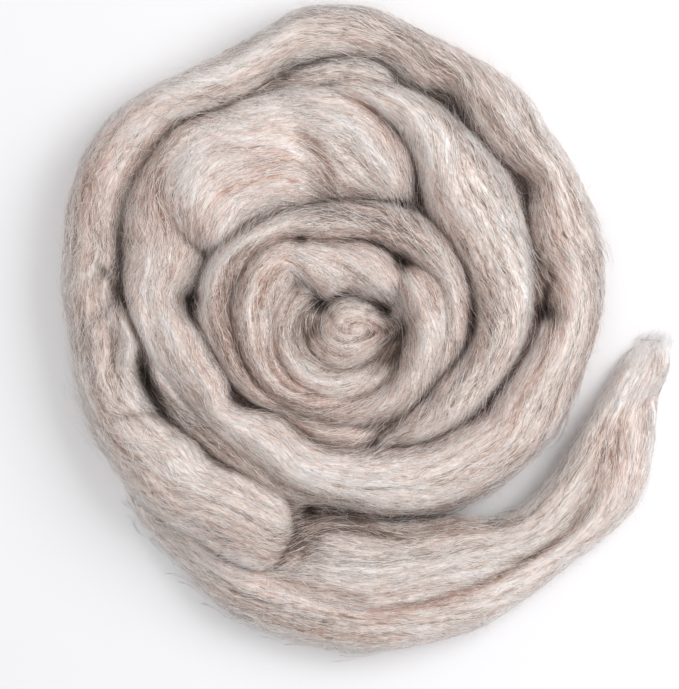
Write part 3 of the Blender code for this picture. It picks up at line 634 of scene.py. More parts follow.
def strand_over(name, bearing, radius):
    """How one stretch lies over each place: height, comb, mm from its middle, and rim.

    The places' share across and their bearing, counted along the stretch, come back too.
    Its edges and top are read at the place's bearing, brought within half a turn of the
    stretch's middle.  Share runs across it from -1 to 1, and the end share from 0 to 1 over
    the last few mm.  The height is an ellipsoid of both on top of the shoulders, and falls
    steeply past its rim.  The comb is the direction in which share stays the same.
    """
    columns = strand_columns(name)
    first = columns["bearing"][0]
    last = columns["bearing"][-1]
    turned = bearing + 360 * np.round(((first + last) / 2 - bearing) / 360)

    def column(values):
        return np.interp(turned, columns["bearing"], values)

    inner = column(columns["inner"])
    outer = column(columns["outer"])
    top = column(columns["top"])
    middle = (inner + outer) / 2
    half = (outer - inner) / 2
    share = (radius - middle) / half

    angle = np.radians(columns["bearing"])
    line = (columns["inner"] + columns["outer"]) / 2
    steps = np.hypot(np.diff(line * np.cos(angle)), np.diff(line * np.sin(angle)))
    travelled = np.concatenate(([0.0], np.cumsum(steps)))
    along = column(travelled)
    before, after = SPILLS.get(name, (0, 0))
    from_first = along - np.radians(np.maximum(first - turned, 0)) * middle + before
    to_last = travelled[-1] - along - np.radians(np.maximum(turned - last, 0)) * middle + after
    end_share = np.maximum(1 - np.minimum(from_first, to_last) / END_LENGTH, 0)

    rim = np.hypot(share, end_share)
    shoulder = np.minimum(top * SHOULDER_SHARE, SHOULDER_LIMIT)
    sides = (STRETCHES[name].inner_side, STRETCHES[name].outer_side)
    inner_fullness, outer_fullness = (
        FREE_FULLNESS if side == FREE else CROWN_FULLNESS for side in sides)
    if name in LEANS_FROM:
        held = np.clip((turned - LEANS_FROM[name]) / LEAN_EASE, 0, 1)
        outer_fullness = outer_fullness + held * (CROWN_FULLNESS - outer_fullness)
    fullness = np.where(share < 0, inner_fullness, outer_fullness)
    crown = np.maximum(1 - rim ** 2, 0) ** (fullness / 2)
    height = shoulder + (top - shoulder) * crown - FALL * half * np.maximum(rim - 1, 0)

    slope = column(np.gradient(line, angle))
    widening = column(np.gradient(columns["outer"] - columns["inner"], angle)) / 2
    outward = slope + share * widening
    turn = np.radians(turned)
    comb_x, comb_y = unit(
        outward * np.cos(turn) - radius * np.sin(turn),
        -outward * np.sin(turn) - radius * np.cos(turn))
    return (height, comb_x, comb_y, share * np.median(half), rim), share, turned


def streak_weight(streak, share, turned):
    """How much of a streak shows: a bell across it, times its length with faded ends."""
    reach = (streak.last - streak.first) / 2
    off = np.abs(turned - (streak.first + streak.last) / 2) / reach
    weight = np.exp(-((share - streak.across) / streak.width) ** 2)
    return weight * np.clip(STREAK_ENDS * (1 - off), 0, 1)


def lump_over(lump, x, y):
    """A round lump: a flattened dome over a circle, combed around its middle."""
    east = x - lump.radius * math.cos(math.radians(lump.bearing))
    north = y + lump.radius * math.sin(math.radians(lump.bearing))
    distance = np.hypot(east, north)
    rim = distance / (lump.width / 2)
    shoulder = lump.top * SHOULDER_SHARE
    crown = np.maximum(1 - rim ** 2, 0) ** (LUMP_FULLNESS / 2)
    fall = FALL * lump.width / 2 * np.maximum(rim - 1, 0)
    comb_x, comb_y = unit(north, -east)
    return shoulder + (lump.top - shoulder) * crown - fall, comb_x, comb_y, distance, rim


def along_path(path, x, y, reach):
    """Cells within reach of a smooth path: their index, distance, share of it and heading."""
    line = smooth_line(path, per_row=8)
    low = line.min(axis=0) - reach
    high = line.max(axis=0) + reach
    near = np.flatnonzero((x > low[0]) & (x < high[0]) & (y > low[1]) & (y < high[1]))
    apart = np.hypot(x[near, None] - line[:, 0], y[near, None] - line[:, 1])
    closest = apart.argmin(axis=1)
    heading = np.gradient(line, axis=0)[closest]
    return near, apart.min(axis=1), closest / (len(line) - 1), heading


def blurred(grid, size):
    """A square of cells smoothed by a bell of a size in mm, by way of its waves."""
    across = np.fft.fftfreq(len(grid), CELL)[:, None]
    down = np.fft.rfftfreq(len(grid), CELL)[None, :]
    bell = np.exp(-2 * (math.pi * size) ** 2 * (across ** 2 + down ** 2))
    return np.fft.irfft2(np.fft.rfft2(grid) * bell, grid.shape)


def speckle(rng, side, size):
    """Random specks: white noise blurred to a size in mm, with a spread of one."""
    noise = blurred(rng.standard_normal((side, side)), size)
    return noise / noise.std()


class WoolMap:
    """Square cells over the coil with the height, comb and colour of the wool in each."""

    def __init__(self):
        rng = np.random.default_rng(MAP_SEED)
        self.side = int(2 * MAP_REACH / CELL) + 1
        line = np.linspace(-MAP_REACH, MAP_REACH, self.side)
        grid_x, grid_y = np.meshgrid(line, line, indexing="ij")
        self.x = grid_x.ravel()
        self.y = grid_y.ravel()
        self.values = {}
        self.lay_strands()
        self.fill_grooves()
        self.turn_comb(rng)
        self.raise_ridges(rng)
        self.press_creases()
        self.shade_hollows()

    def read(self, name, x, y):
        """A value at any places in mm, blended from the four cells around each."""
        grid = self.values[name].reshape(self.side, self.side)
        column = np.clip((x + MAP_REACH) / CELL, 0, self.side - 1.001)
        row = np.clip((y + MAP_REACH) / CELL, 0, self.side - 1.001)
        i = column.astype(int)
        j = row.astype(int)
        fi = column - i
        fj = row - j
        near = grid[i, j] * (1 - fj) + grid[i, j + 1] * fj
        far = grid[i + 1, j] * (1 - fj) + grid[i + 1, j + 1] * fj
        return near * (1 - fi) + far * fi

    def lay_strands(self):
        """Lay every stretch and lump, and let the highest show, melted a little together."""
        bearing = np.degrees(np.arctan2(-self.y, self.x))
        radius = np.hypot(self.x, self.y)
        names = list(STRETCHES) + list(LUMPS)
        height = np.full((len(names), len(self.x)), NO_HEIGHT, dtype=np.float32)
        kinds = ("comb_x", "comb_y", "across", "rim", "tone", "tint")
        layers = {kind: np.zeros(height.shape, dtype=np.float32) for kind in kinds}
        layers["rim"] += OFF_WOOL
        for k, name in enumerate(names):
            layers["tone"][k], layers["tint"][k] = COLOURS[name]
            near = slice(None)
            if name in LUMPS:
                found = lump_over(LUMPS[name], self.x, self.y)
            else:
                columns = strand_columns(name)
                near = np.flatnonzero(
                    (radius > columns["inner"].min() - STRAND_MARGIN)
                    & (radius < columns["outer"].max() + STRAND_MARGIN))
                found, share, turned = strand_over(name, bearing[near], radius[near])
            height[k, near] = found[0]
            for kind, layer in zip(kinds, found[1:]):
                layers[kind][k, near] = layer
            for streak in STREAKS:
                if streak.stretch == name:
                    weight = streak_weight(streak, share, turned)
                    layers["tint"][k, near] += weight * (streak.tint - layers["tint"][k, near])
                    layers["tone"][k, near] += weight * streak.tone
        melt = HEART_SOFTNESS - CREASE_SOFTNESS
        melt = CREASE_SOFTNESS + melt * np.exp(-(radius / HEART_RADIUS) ** 4)
        tail = np.array([name in TAIL for name in names])
        for part, chosen in zip(HEIGHTS, (~tail, tail, tail | ~tail)):
            peak = height[chosen].max(axis=0)
            melted = np.exp((height[chosen] - peak) / melt).sum(axis=0)
            self.values[part] = peak + melt * np.log(melted)
        weight = np.exp((height - height.max(axis=0)) / COMB_BLEND)
        weight /= weight.sum(axis=0)
        for kind, layer in layers.items():
            self.values[kind] = (weight * layer).sum(axis=0)

    def turn_comb(self, rng):
        """Turn the comb along its guides, and then to and fro in waves."""
        pull_x = np.zeros_like(self.x)
        pull_y = np.zeros_like(self.x)
        for guide in GUIDES.values():
            near, apart, share, heading = along_path(guide.path, self.x, self.y, 2 * guide.width)
            head_x, head_y = unit(heading[:, 0], heading[:, 1])
            agree = head_x * self.values["comb_x"][near] + head_y * self.values["comb_y"][near]
            pull = np.where(agree < 0, -GUIDE_PULL, GUIDE_PULL)
            pull = pull * np.exp(-(apart / guide.width) ** 2)
            share = np.clip(share, GUIDE_FADE, 1 - GUIDE_FADE)
            pull = pull * np.sin(math.pi * share) ** 0.3
            pull_x[near] += pull * head_x
            pull_y[near] += pull * head_y
        x, y = unit(self.values["comb_x"] + pull_x, self.values["comb_y"] + pull_y)
        self.values["smooth_x"] = x
        self.values["smooth_y"] = y
        swing = np.zeros_like(self.x)
        for size, degrees in WAVES:
            swing += math.radians(degrees) * speckle(rng, self.side, size).ravel()
        self.values["comb_x"] = x * np.cos(swing) - y * np.sin(swing)
        self.values["comb_y"] = x * np.sin(swing) + y * np.cos(swing)

    def combed(self, specks, reach, waved):
        """Specks drawn out along the comb: the mean of those met by walking it both ways."""
        wool = np.flatnonzero(self.values["height"] > RIDGE_FLOOR)
        names = ("comb_x", "comb_y") if waved else ("smooth_x", "smooth_y")
        stride = max(CELL, reach / RIDGE_STEPS)
        total = specks[wool].copy()
        for way in (stride, -stride):
            x = self.x[wool]
            y = self.y[wool]
            for _ in range(int(reach / stride)):
                column = np.rint((x + MAP_REACH) / CELL).astype(int)
                row = np.rint((y + MAP_REACH) / CELL).astype(int)
                cell = np.clip(column * self.side + row, 0, self.side ** 2 - 1)
                total += specks[cell]
                x = x + way * self.values[names[0]][cell]
                y = y + way * self.values[names[1]][cell]
        drawn = np.zeros_like(self.x)
        drawn[wool] = np.clip(total / total.std(), -RIDGE_LIMIT, RIDGE_LIMIT)
        return drawn

    def raise_ridges(self, rng):
        """Raise and colour the wool in ridges that follow the comb."""
        fade = np.clip(self.values["height"] / RIDGE_FADE, 0, 1)
        for ridge in RIDGES:
            specks = speckle(rng, self.side, ridge.size).ravel()
            drawn = self.combed(specks, ridge.reach, ridge.size < FINE_RIDGE)
            for part in HEIGHTS:
                self.values[part] = self.values[part] + ridge.height * drawn * fade
            self.values["tone"] += ridge.tone * drawn
            colours = speckle(rng, self.side, ridge.size * TINT_SIZE).ravel()
            self.values["tint"] += ridge.tint * self.combed(colours, ridge.reach, False)

    def press_creases(self):
        """Press creases along their paths, with a bell-shaped section, and the round pits."""
        for crease in (*CREASES.values(), *LOCKS.values()):
            near, apart, share, _ = along_path(
                crease.path, self.x, self.y, BELL_REACH * crease.width)
            weight = np.exp(-(apart / crease.width) ** 2)
            share = np.clip(share, CREASE_FADE, 1 - CREASE_FADE)
            weight = weight * np.sin(math.pi * share) ** 0.5
            self.sink(near, weight, crease.depth, crease.tone, crease.tint)
        for pit in PITS.values():
            apart = np.hypot(self.x - pit.x, self.y - pit.y)
            near = np.flatnonzero(apart < BELL_REACH * pit.radius)
            weight = np.exp(-(apart[near] / pit.radius) ** 2)
            self.sink(near, weight, pit.depth, PIT_PAINTED_SHADE, PIT_SHADE_TINT)

    def sink(self, near, weight, depth, tone, tint):
        """Lower the wool in some cells, never under a third of its height, and colour it: painted
        shade in creases and pits, painted light on some raised locks, and the wool's own colour in
        others.
        """
        for part in HEIGHTS:
            was = self.values[part][near]
            least = np.minimum(was, LEAST_SHARE * was)
            self.values[part][near] = np.maximum(was - weight * depth, least)
        self.values["tone"][near] += weight * tone
        self.values["tint"][near] += TINT_HOLD * weight * (tint - self.values["tint"][near])

    def smoothed(self, values, size):
        """Values smoothed over the map by a bell of a size in mm."""
        return blurred(values.reshape(self.side, self.side), size).ravel()

    def fill_grooves(self):
        """Raise the deepest parts of grooves, where strands press on each other."""
        for part in HEIGHTS:
            height = self.values[part]
            least = self.smoothed(np.maximum(height, 0), GROOVE_REACH) - GROOVE_DEPTH
            apart = (least - height) / CREASE_SOFTNESS
            raised = height + CREASE_SOFTNESS * np.logaddexp(0, apart)
            self.values[part] = np.where(height > DRY_GROOVE, raised, height)

    def shade_hollows(self):
        """Paint shade into hollows, paint light onto the thin wool at free edges, and find the way
        the wool faces.
        """
        height = np.maximum(self.values["height"], 0)
        # Painted shade: how deep each cell lies under the wool around it.
        hollow = np.clip((self.smoothed(height, HOLLOW_REACH) - height) / HOLLOW_DEPTH, 0, 1)
        cover = self.smoothed(np.clip(height / THIN_HEIGHT, 0, 1), EDGE_REACH)
        self.values["cover"] = cover
        # Painted light: thin wool near free edges is painted paler.
        paler = EDGE_PAINTED_LIGHT * np.clip(1 - cover, 0, EDGE_LIMIT)
        self.values["tone"] += paler - PAINTED_HOLLOW_SHADE * hollow
        smooth = self.smoothed(height, FACING_REACH).reshape(self.side, self.side)
        slope_x, slope_y = np.gradient(smooth, CELL)
        size = np.sqrt(1 + slope_x ** 2 + slope_y ** 2)
        self.values["up_x"] = (-slope_x / size).ravel()
        self.values["up_y"] = (-slope_y / size).ravel()
        self.values["up_z"] = (1 / size).ravel()


@functools.cache
def wool_map():
    """The map of the wool, worked out once."""
    return WoolMap()


def coil_edge(bearing):
    """Radius of the coil's outer edge at each bearing, eased over a few degrees."""
    edge = np.zeros_like(bearing)
    for name in STRETCHES:
        if name in TAIL:
            continue
        columns = strand_columns(name)
        middle = (columns["bearing"][0] + columns["bearing"][-1]) / 2
        turned = bearing + 360 * np.round((middle - bearing) / 360)
        here = np.interp(turned, columns["bearing"], columns["outer"], left=0, right=0)
        edge = np.maximum(edge, here)
    width = max(3, len(bearing) * COIL_EASE // 360) | 1
    ring = np.concatenate([edge[-width:], edge, edge[:width]])
    return np.convolve(ring, np.ones(width) / width, mode="same")[width:-width]


@functools.cache
def eased_tail():
    """Bearings along the tail, and the radii of its edges there, eased over a few degrees."""
    bearing = np.linspace(*TAIL_SPAN, TAIL_ROWS)
    edges = np.stack([np.full_like(bearing, MAP_REACH), np.zeros_like(bearing)])
    for name in TAIL:
        columns = strand_columns(name)
        first = columns["bearing"][0]
        last = columns["bearing"][-1]
        here = (bearing > first - TAIL_JOIN) & (bearing < last + TAIL_JOIN)
        low = np.interp(bearing, columns["bearing"], columns["inner"])
        high = np.interp(bearing, columns["bearing"], columns["outer"])
        edges[0] = np.where(here, np.minimum(edges[0], low), edges[0])
        edges[1] = np.where(here, np.maximum(edges[1], high), edges[1])
    width = TAIL_ROWS // TAIL_EASE | 1
    padded = np.pad(edges, ((0, 0), (width // 2, width // 2)), mode="edge")
    eased = [np.convolve(edge, np.ones(width) / width, mode="valid") for edge in padded]
    return bearing, *eased


def tail_edges(bearing):
    """Radii of the tail's inner and outer edges at each bearing, drawn in at its tip."""
    rows, inner, outer = eased_tail()
    inner = np.interp(bearing, rows, inner)
    outer = np.interp(bearing, rows, outer)
    middle = (inner + outer) / 2
    to_tip = np.radians(bearing - TAIL_SPAN[0]) * middle
    spread = np.sqrt(np.clip(1 - (1 - to_tip / TIP_LENGTH).clip(0) ** 2, TIP_NARROWEST, 1))
    return middle - (middle - inner) * spread, middle + (outer - middle) * spread


# ---------------------------------------------------------------- meshes


@functools.cache
def table_shift():
    """From the tables' middle of the coil to the frame's origin, in metres.

    The solid's box has its middle over the origin, so the middle of the box around every
    strand's edges is the shift.
    """
    low = np.array([math.inf, math.inf])
    high = -low
    for name in STRETCHES:
        columns = strand_columns(name)
        angle = np.radians(columns["bearing"])
        for edge in ("inner", "outer"):
            line = np.stack(place_at(columns[edge], angle))
            low = np.minimum(low, line.min(axis=1))
            high = np.maximum(high, line.max(axis=1))
    box_low, box_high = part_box(NODE)
    box_middle = np.array([(box_low[k] + box_high[k]) / 2 for k in range(2)])
    return (low + high) / 2 * MM - box_middle


def in_frame(x, y, z):
    """Points in metres in the frame from coordinates in mm about the middle of the coil."""
    shift = table_shift()
    return np.stack([x * MM - shift[0], y * MM - shift[1], z * MM], axis=-1)


def grid_faces(rows, columns, closed):
    """Quads of a grid whose columns run round, and its rows too where it is closed.

    A grid that isn't closed gets a fan over its first and last row, around two tip points
    that follow the grid's own.  The second array is each corner's place on the unrolled
    grid, from 0 to 1 both ways.
    """
    i, j = np.meshgrid(np.arange(rows if closed else rows - 1), np.arange(columns), indexing="ij")
    corner_rows = np.stack([i, i, i + 1, i + 1], axis=-1).reshape(-1, 4)
    corner_columns = np.stack([j, j + 1, j + 1, j], axis=-1).reshape(-1, 4)
    faces = [(corner_rows % rows) * columns + corner_columns % columns]
    places = [np.stack([corner_rows / rows, corner_columns / columns], axis=-1)]
    if not closed:
        j = np.arange(columns)
        k = (j + 1) % columns
        tip = np.full(columns, rows * columns)
        last = (rows - 1) * columns
        faces.append(np.stack([tip, k, j], axis=-1))
        faces.append(np.stack([tip + 1, last + j, last + k], axis=-1))
        for row, tip_row, order in ((0, -0.5, (1, 0)), (rows - 1, rows - 0.5, (0, 1))):
            place = np.empty((columns, 3, 2))
            place[:, 0, 0] = tip_row / rows
            place[:, 1:, 0] = row / rows
            place[:, 0, 1] = (j + 0.5) / columns
            place[:, 1, 1] = (j + order[0]) / columns
            place[:, 2, 1] = (j + order[1]) / columns
            places.append(place)
    places = np.concatenate([place.reshape(-1, 2) for place in places])
    return faces, PLACE_MARGIN + PLACE_SCALE * (places + 0.5 / rows)


def make_piece(name, points, faces, corner_places, values, material):
    """A smooth mesh object at the origin that rides with the roving and stands for it."""
    mesh = bpy.data.meshes.new(name)
    corners = np.concatenate([face.ravel() for face in faces]).astype(np.int32)
    sizes = np.concatenate([np.full(len(face), face.shape[1]) for face in faces])
    starts = np.concatenate(([0], np.cumsum(sizes)[:-1])).astype(np.int32)
    mesh.vertices.add(len(points))
    mesh.vertices.foreach_set("co", points.astype(np.float32).ravel())
    mesh.loops.add(len(corners))
    mesh.loops.foreach_set("vertex_index", corners)
    mesh.polygons.add(len(sizes))
    mesh.polygons.foreach_set("loop_start", starts)
    mesh.update(calc_edges=True)
    layer = mesh.uv_layers.new(name="OFBake")
    layer.data.foreach_set("uv", corner_places.astype(np.float32).ravel())
    for key, value in values.items():
        kind = "FLOAT" if value.ndim == 1 else "FLOAT_VECTOR"
        made = mesh.attributes.new(key, kind, "POINT")
        field = "value" if value.ndim == 1 else "vector"
        made.data.foreach_set(field, value.astype(np.float32).ravel())
    mesh.shade_smooth()
    mesh.materials.append(material)
    piece = bpy.data.objects.new(name, mesh)
    bpy.context.scene.collection.objects.link(piece)
    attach(piece, BODY)
    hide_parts(NODE)
    return piece


def body_piece(name, x, y, z, closed, material):
    """A piece of the wool's body from a grid of places in mm, coloured from the map."""
    wool = wool_map()
    rows, columns = x.shape
    flat = [grid.ravel() for grid in (x, y, z)]
    if not closed:
        flat = [np.append(line, [line[:columns].mean(), line[-columns:].mean()]) for line in flat]
    bearing = np.arctan2(-flat[1], flat[0])
    drop = np.maximum(wool.read("height", flat[0], flat[1]) - flat[2], 0)
    across = wool.read("across", flat[0], flat[1]) + drop
    comb = np.stack([np.cos(bearing), np.sin(bearing), across * MM], axis=-1)
    values = {
        "comb": comb,
        "tone": wool.read("tone", flat[0], flat[1]),
        "tint": wool.read("tint", flat[0], flat[1]),
    }
    faces, places = grid_faces(rows, columns, closed)
    return make_piece(name, in_frame(*flat), faces, places, values, material)


def wall_inset(down):
    """How far a free side has drawn in, from its shoulder at 0 to its foot at 1, in mm."""
    return WALL_INSET * down ** WALL_BULGE


def coil_disc(material):
    """The inner part of the coil: rings from the middle out, down a hidden wall and back."""
    wool = wool_map()
    angle = np.linspace(0, 2 * math.pi, TURN_COLUMNS, endpoint=False)[None, :]
    x, y = place_at(np.linspace(DISC_START, DISC_RADIUS, DISC_ROWS)[:, None], angle)
    z = np.maximum(wool.read("coil", x, y), LEAST_HEIGHT)
    foot = np.array(HIDDEN_FOOT)[:, None]
    x = np.concatenate([x, x[-1:] * foot])
    y = np.concatenate([y, y[-1:] * foot])
    z = np.concatenate([z, 0 * z[:1], 0 * z[:1]])
    return body_piece("inner_coil_body", x, y, z, False, material)


def coil_rim(material):
    """The outer part of the coil: out over the crown, down the free side, and back beneath."""
    wool = wool_map()
    bearing = np.linspace(0, 360, TURN_COLUMNS, endpoint=False)
    edge = coil_edge(bearing)[None, :]
    angle = np.radians(bearing)[None, :]
    out = 1 - (1 - np.linspace(0, 1, RIM_ROWS)[:, None]) ** EDGE_CROWDING
    radius = DISC_RADIUS + (edge - DISC_RADIUS) * out
    z = np.maximum(wool.read("coil", *place_at(radius, angle)), LEAST_HEIGHT)
    down = np.linspace(0, 1, WALL_ROWS + 1)[1:, None]
    side = radius[-1:] - wall_inset(down)
    radius = np.concatenate([radius, side, radius[:1]])
    z = np.concatenate([z, z[-1:] * (1 - down), 0 * z[:1]])
    return body_piece("outer_coil_body", *place_at(radius, angle), z, True, material)


def tail_section(bearing):
    """Points of the tail's sections: over the crown, down the inner side, back up the outer."""
    wool = wool_map()
    inner, outer = tail_edges(bearing)
    inner = inner[:, None]
    outer = outer[:, None]
    angle = np.radians(bearing)[:, None]
    share = np.cos(np.linspace(0, math.pi, TAIL_CROWN))[None, :]
    crown = (inner + outer) / 2 + (outer - inner) / 2 * share
    height = np.maximum(wool.read("tail", *place_at(crown, angle)), LEAST_HEIGHT)
    to_tip = np.radians(bearing - TAIL_SPAN[0])[:, None] * crown
    reach = TIP_EASE_ROWS // 2
    padded = np.pad(height, ((reach, reach), (0, 0)), mode="edge")
    eased = sum(padded[k:k + len(height)] for k in range(TIP_EASE_ROWS)) / TIP_EASE_ROWS
    height = np.minimum(height + (eased - height) * np.clip(2 - to_tip / TIP_EASE, 0, 1), height)
    height = height * np.clip(to_tip / TIP_THINNING, TIP_THINNEST, 1) ** TIP_ROUNDNESS
    down = np.linspace(0, 1, WALL_ROWS + 1)[None, 1:]
    inner_side = inner + wall_inset(down)
    outer_side = outer - wall_inset(down)
    radius = np.hstack([crown, inner_side, outer_side[:, ::-1]])
    z = np.hstack([height, height[:, -1:] * (1 - down), height[:, :1] * (1 - down)[:, ::-1]])
    return *place_at(radius, angle), z


def fibre_piece(name, paths, up, radius, tone, tint, material):
    """Three-sided fibres along paths (fibre, step, xyz in metres), pointed at both ends.

    Each ring stands square to its path, with axes from the path's heading and the way the
    wool faces, and its radius is a sine of the place along, raised to a small power.
    """
    count, steps = paths.shape[:2]
    heading = np.gradient(paths, axis=1)
    heading /= np.maximum(np.linalg.norm(heading, axis=2, keepdims=True), 1e-9)
    side = np.cross(heading, up)
    side /= np.maximum(np.linalg.norm(side, axis=2, keepdims=True), 1e-9)
    lift = np.cross(side, heading)
    angle = np.radians(FIBRE_SIDES)[:, None]
    swell = np.sin(np.linspace(0.0, math.pi, steps)[1:-1]) ** FIBRE_TAPER
    size = radius[:, None] * swell[None, :]
    ring = side[:, 1:-1, None] * np.cos(angle) + lift[:, 1:-1, None] * np.sin(angle)
    body = paths[:, 1:-1, None] + ring * size[:, :, None, None]
    points = np.concatenate([paths[:, :1], body.reshape(count, -1, 3), paths[:, -1:]], axis=1)
    points[..., 2] = np.maximum(points[..., 2], FLOOR_GAP * MM)
    each = points.shape[1]
    rings = steps - 2
    k, c = np.meshgrid(np.arange(rings - 1), np.arange(3), indexing="ij")
    d = (c + 1) % 3
    quads = np.stack([1 + 3 * k + c, 4 + 3 * k + c, 4 + 3 * k + d, 1 + 3 * k + d], axis=-1)
    c = np.arange(3)
    d = (c + 1) % 3
    last = 1 + 3 * (rings - 1)
    caps = np.concatenate([
        np.stack([0 * c, 1 + c, 1 + d], axis=-1),
        np.stack([0 * c + each - 1, last + d, last + c], axis=-1)])
    first = (np.arange(count) * each)[:, None, None]
    faces = [(quads.reshape(1, -1, 4) + first).reshape(-1, 4), (caps[None] + first).reshape(-1, 3)]

    def on_rings(value):
        return np.concatenate([value[:, :1], np.repeat(value[:, 1:-1], 3, axis=1), value[:, -1:]], 1)

    edge = np.concatenate([[0.0], np.tile([-FIBRE_SHADES, 0.0, FIBRE_SHADES], rings), [0.0]])
    step = np.linspace(-FIBRE_SHADES, FIBRE_SHADES, steps)[None, :]
    places = np.stack([on_rings(tone + step) + 0 * edge, on_rings(tint) + edge], axis=2)
    places = np.clip(places, SHADE_MARGIN, 1 - SHADE_MARGIN).reshape(-1, 2)
    corners = np.concatenate([face.ravel() for face in faces])
    return make_piece(name, points.reshape(-1, 3), faces, places[corners], {}, material)


def walk(x, y, stride, steps, turn):
    """Places met by walking along the comb with a stride and a turn at each step."""
    wool = wool_map()
    way_x = [x]
    way_y = [y]
    for k in range(steps - 1):
        comb_x = wool.read("comb_x", x, y)
        comb_y = wool.read("comb_y", x, y)
        cos = np.cos(turn[:, k])
        sin = np.sin(turn[:, k])
        x = x + stride * (comb_x * cos - comb_y * sin)
        y = y + stride * (comb_x * sin + comb_y * cos)
        way_x.append(x)
        way_y.append(y)
    return np.stack(way_x, axis=1), np.stack(way_y, axis=1)


def walk_within(x, y, stride, steps, turn):
    """A walk along the comb, turned the other way where it would leave the wool."""
    way_x, way_y = walk(x, y, stride, steps, turn)
    leaves = wool_map().read("rim", way_x[:, -1], way_y[:, -1]) > WOOL_EDGE
    return walk(x, y, stride, steps, np.where(leaves[:, None], -turn, turn))


def stray(x, y, stride, steps, turn):
    """Places met by setting off along the comb and then keeping that heading but for turns."""
    wool = wool_map()
    comb = np.arctan2(wool.read("comb_y", x, y), wool.read("comb_x", x, y))
    heading = comb[:, None] + turn[:, :steps - 1]
    way_x = np.cumsum(stride[:, None] * np.cos(heading), axis=1)
    way_y = np.cumsum(stride[:, None] * np.sin(heading), axis=1)
    start = np.zeros((len(x), 1))
    return x[:, None] + np.hstack([start, way_x]), y[:, None] + np.hstack([start, way_y])


def seed_places(rng, count, region):
    """Random places on the wool in a region, as thick on its slopes as on its crowns."""
    wool = wool_map()
    surface = 1 / np.maximum(wool.values["up_z"], STEEPEST_SLOPE)
    chance = np.cumsum(np.where(region & (wool.values["rim"] < 1), surface, 0))
    cell = np.searchsorted(chance, rng.uniform(0, chance[-1], count))
    jitter = rng.uniform(-CELL / 2, CELL / 2, (2, count))
    return wool.x[cell] + jitter[0], wool.y[cell] + jitter[1]


def tone_strays(rng, count, spread):
    """How far each fibre strays from the tone of its wool, a little more to white."""
    stray_by = rng.normal(0, 1, (count, 1))
    return spread * np.where(stray_by < 0, DARKER_STRAYS * stray_by, PALER_STRAYS * stray_by)


def stiffened(z, stride, steepest):
    """Heights of fibres that span what falls away ahead of them more steeply than they bend."""
    fall = steepest * stride[:, None] * np.arange(z.shape[1])[None, :]
    return np.maximum.accumulate(z + fall, axis=1) - fall


def facing(x, y):
    """Unit vectors square to the wool's surface."""
    wool = wool_map()
    way = np.stack([wool.read(name, x, y) for name in ("up_x", "up_y", "up_z")], axis=-1)
    return way / np.maximum(np.linalg.norm(way, axis=-1, keepdims=True), 1e-9)


def regions():
    """Parts of the map that each make one piece of fibres."""
    wool = wool_map()
    radius = np.hypot(wool.x, wool.y)
    tail = wool.values["tail"] > wool.values["coil"]
    inner = ~tail & (radius < INNER_RADIUS)
    outer = ~tail & ~inner
    upper = wool.y > UPPER_SLOPE * wool.x
    return {
        "tail": tail,
        "inner_coil": inner,
        "upper_coil": outer & upper & (wool.x > LEFT_X),
        "left_coil": outer & upper & (wool.x <= LEFT_X),
        "lower_coil": outer & ~upper & (wool.x < RIGHT_X),
        "right_coil": outer & ~upper & (wool.x >= RIGHT_X),
    }


# ---------------------------------------------------------------- materials


def add_node(tree, kind, inputs=None, **settings):
    """Add a node with its settings, and fill or link its inputs."""
    node = tree.nodes.new(kind)
    for name, value in settings.items():
        setattr(node, name, value)
    for key, value in (inputs or {}).items():
        if isinstance(value, bpy.types.NodeSocket):
            tree.links.new(value, node.inputs[key])
        else:
            node.inputs[key].default_value = value
    return node


def new_material(name, finish):
    """A material with its tree and shader, with values set on the shader's own sockets."""
    material = bpy.data.materials.new(name)
    material.use_nodes = True
    tree = material.node_tree
    shader = tree.nodes["Principled BSDF"]
    for socket, value in finish.items():
        shader.inputs[socket].default_value = value
    return material, tree, shader


DARKEST = 0.45               # the colour at tone 0, against that in shade
WHITE_DEPTH = 0.30           # share of the lit colour that is left at tone 1
SHADE_TONE = 0.35
LIT_TONE = 0.72


def blended_wool(tree, tone, tint, colours):
    """One ramp from shade to white for each fleece, and the tint blends from one to the next."""
    fleeces = (
        (colours.cool_shade, colours.cool_lit),
        (colours.cream_shade, colours.cream_lit),
        (colours.rust_shade, colours.rust_lit))
    blend = None
    for k, (shade, lit) in enumerate(fleeces):
        ramp = add_node(tree, "ShaderNodeValToRGB", {"Fac": tone})
        shade = np.array(shade)
        lit = np.array(lit)
        white = 1 - (1 - lit) * WHITE_DEPTH
        stops = ((0.0, shade * DARKEST), (SHADE_TONE, shade), (LIT_TONE, lit), (1.0, white))
        elements = ramp.color_ramp.elements
        while len(elements) < len(stops):
            elements.new(0.5)
        for element, (place, colour) in zip(elements, stops):
            element.position = place
            element.color = (*colour, 1.0)
        if blend is None:
            blend = ramp.outputs["Color"]
            continue
        part = add_node(
            tree, "ShaderNodeMapRange",
            {"Value": tint, "From Min": 0.5 * (k - 1), "From Max": 0.5 * k})
        mix = add_node(tree, "ShaderNodeMix", data_type="RGBA")
        tree.links.new(part.outputs["Result"], mix.inputs[0])
        tree.links.new(blend, mix.inputs[6])
        tree.links.new(ramp.outputs["Color"], mix.inputs[7])
        blend = mix.outputs[2]
    return blend


# Combed wool scatters light from many scales, so it is matt with a faint soft sheen. Loose
# fibres are so thin that light soaks through them. Card is matt.
WOOL_FINISH = {
    "Roughness": 0.8, "Specular IOR Level": 0.2, "Sheen Weight": 0.3, "Sheen Roughness": 0.5}
LOOSE_FINISH = {
    "Subsurface Weight": 0.9, "Subsurface Radius": (1.0, 0.9, 0.8), "Subsurface Scale": 1.5 * MM}
CARD_FINISH = {"Roughness": 0.9, "Specular IOR Level": 0.2}


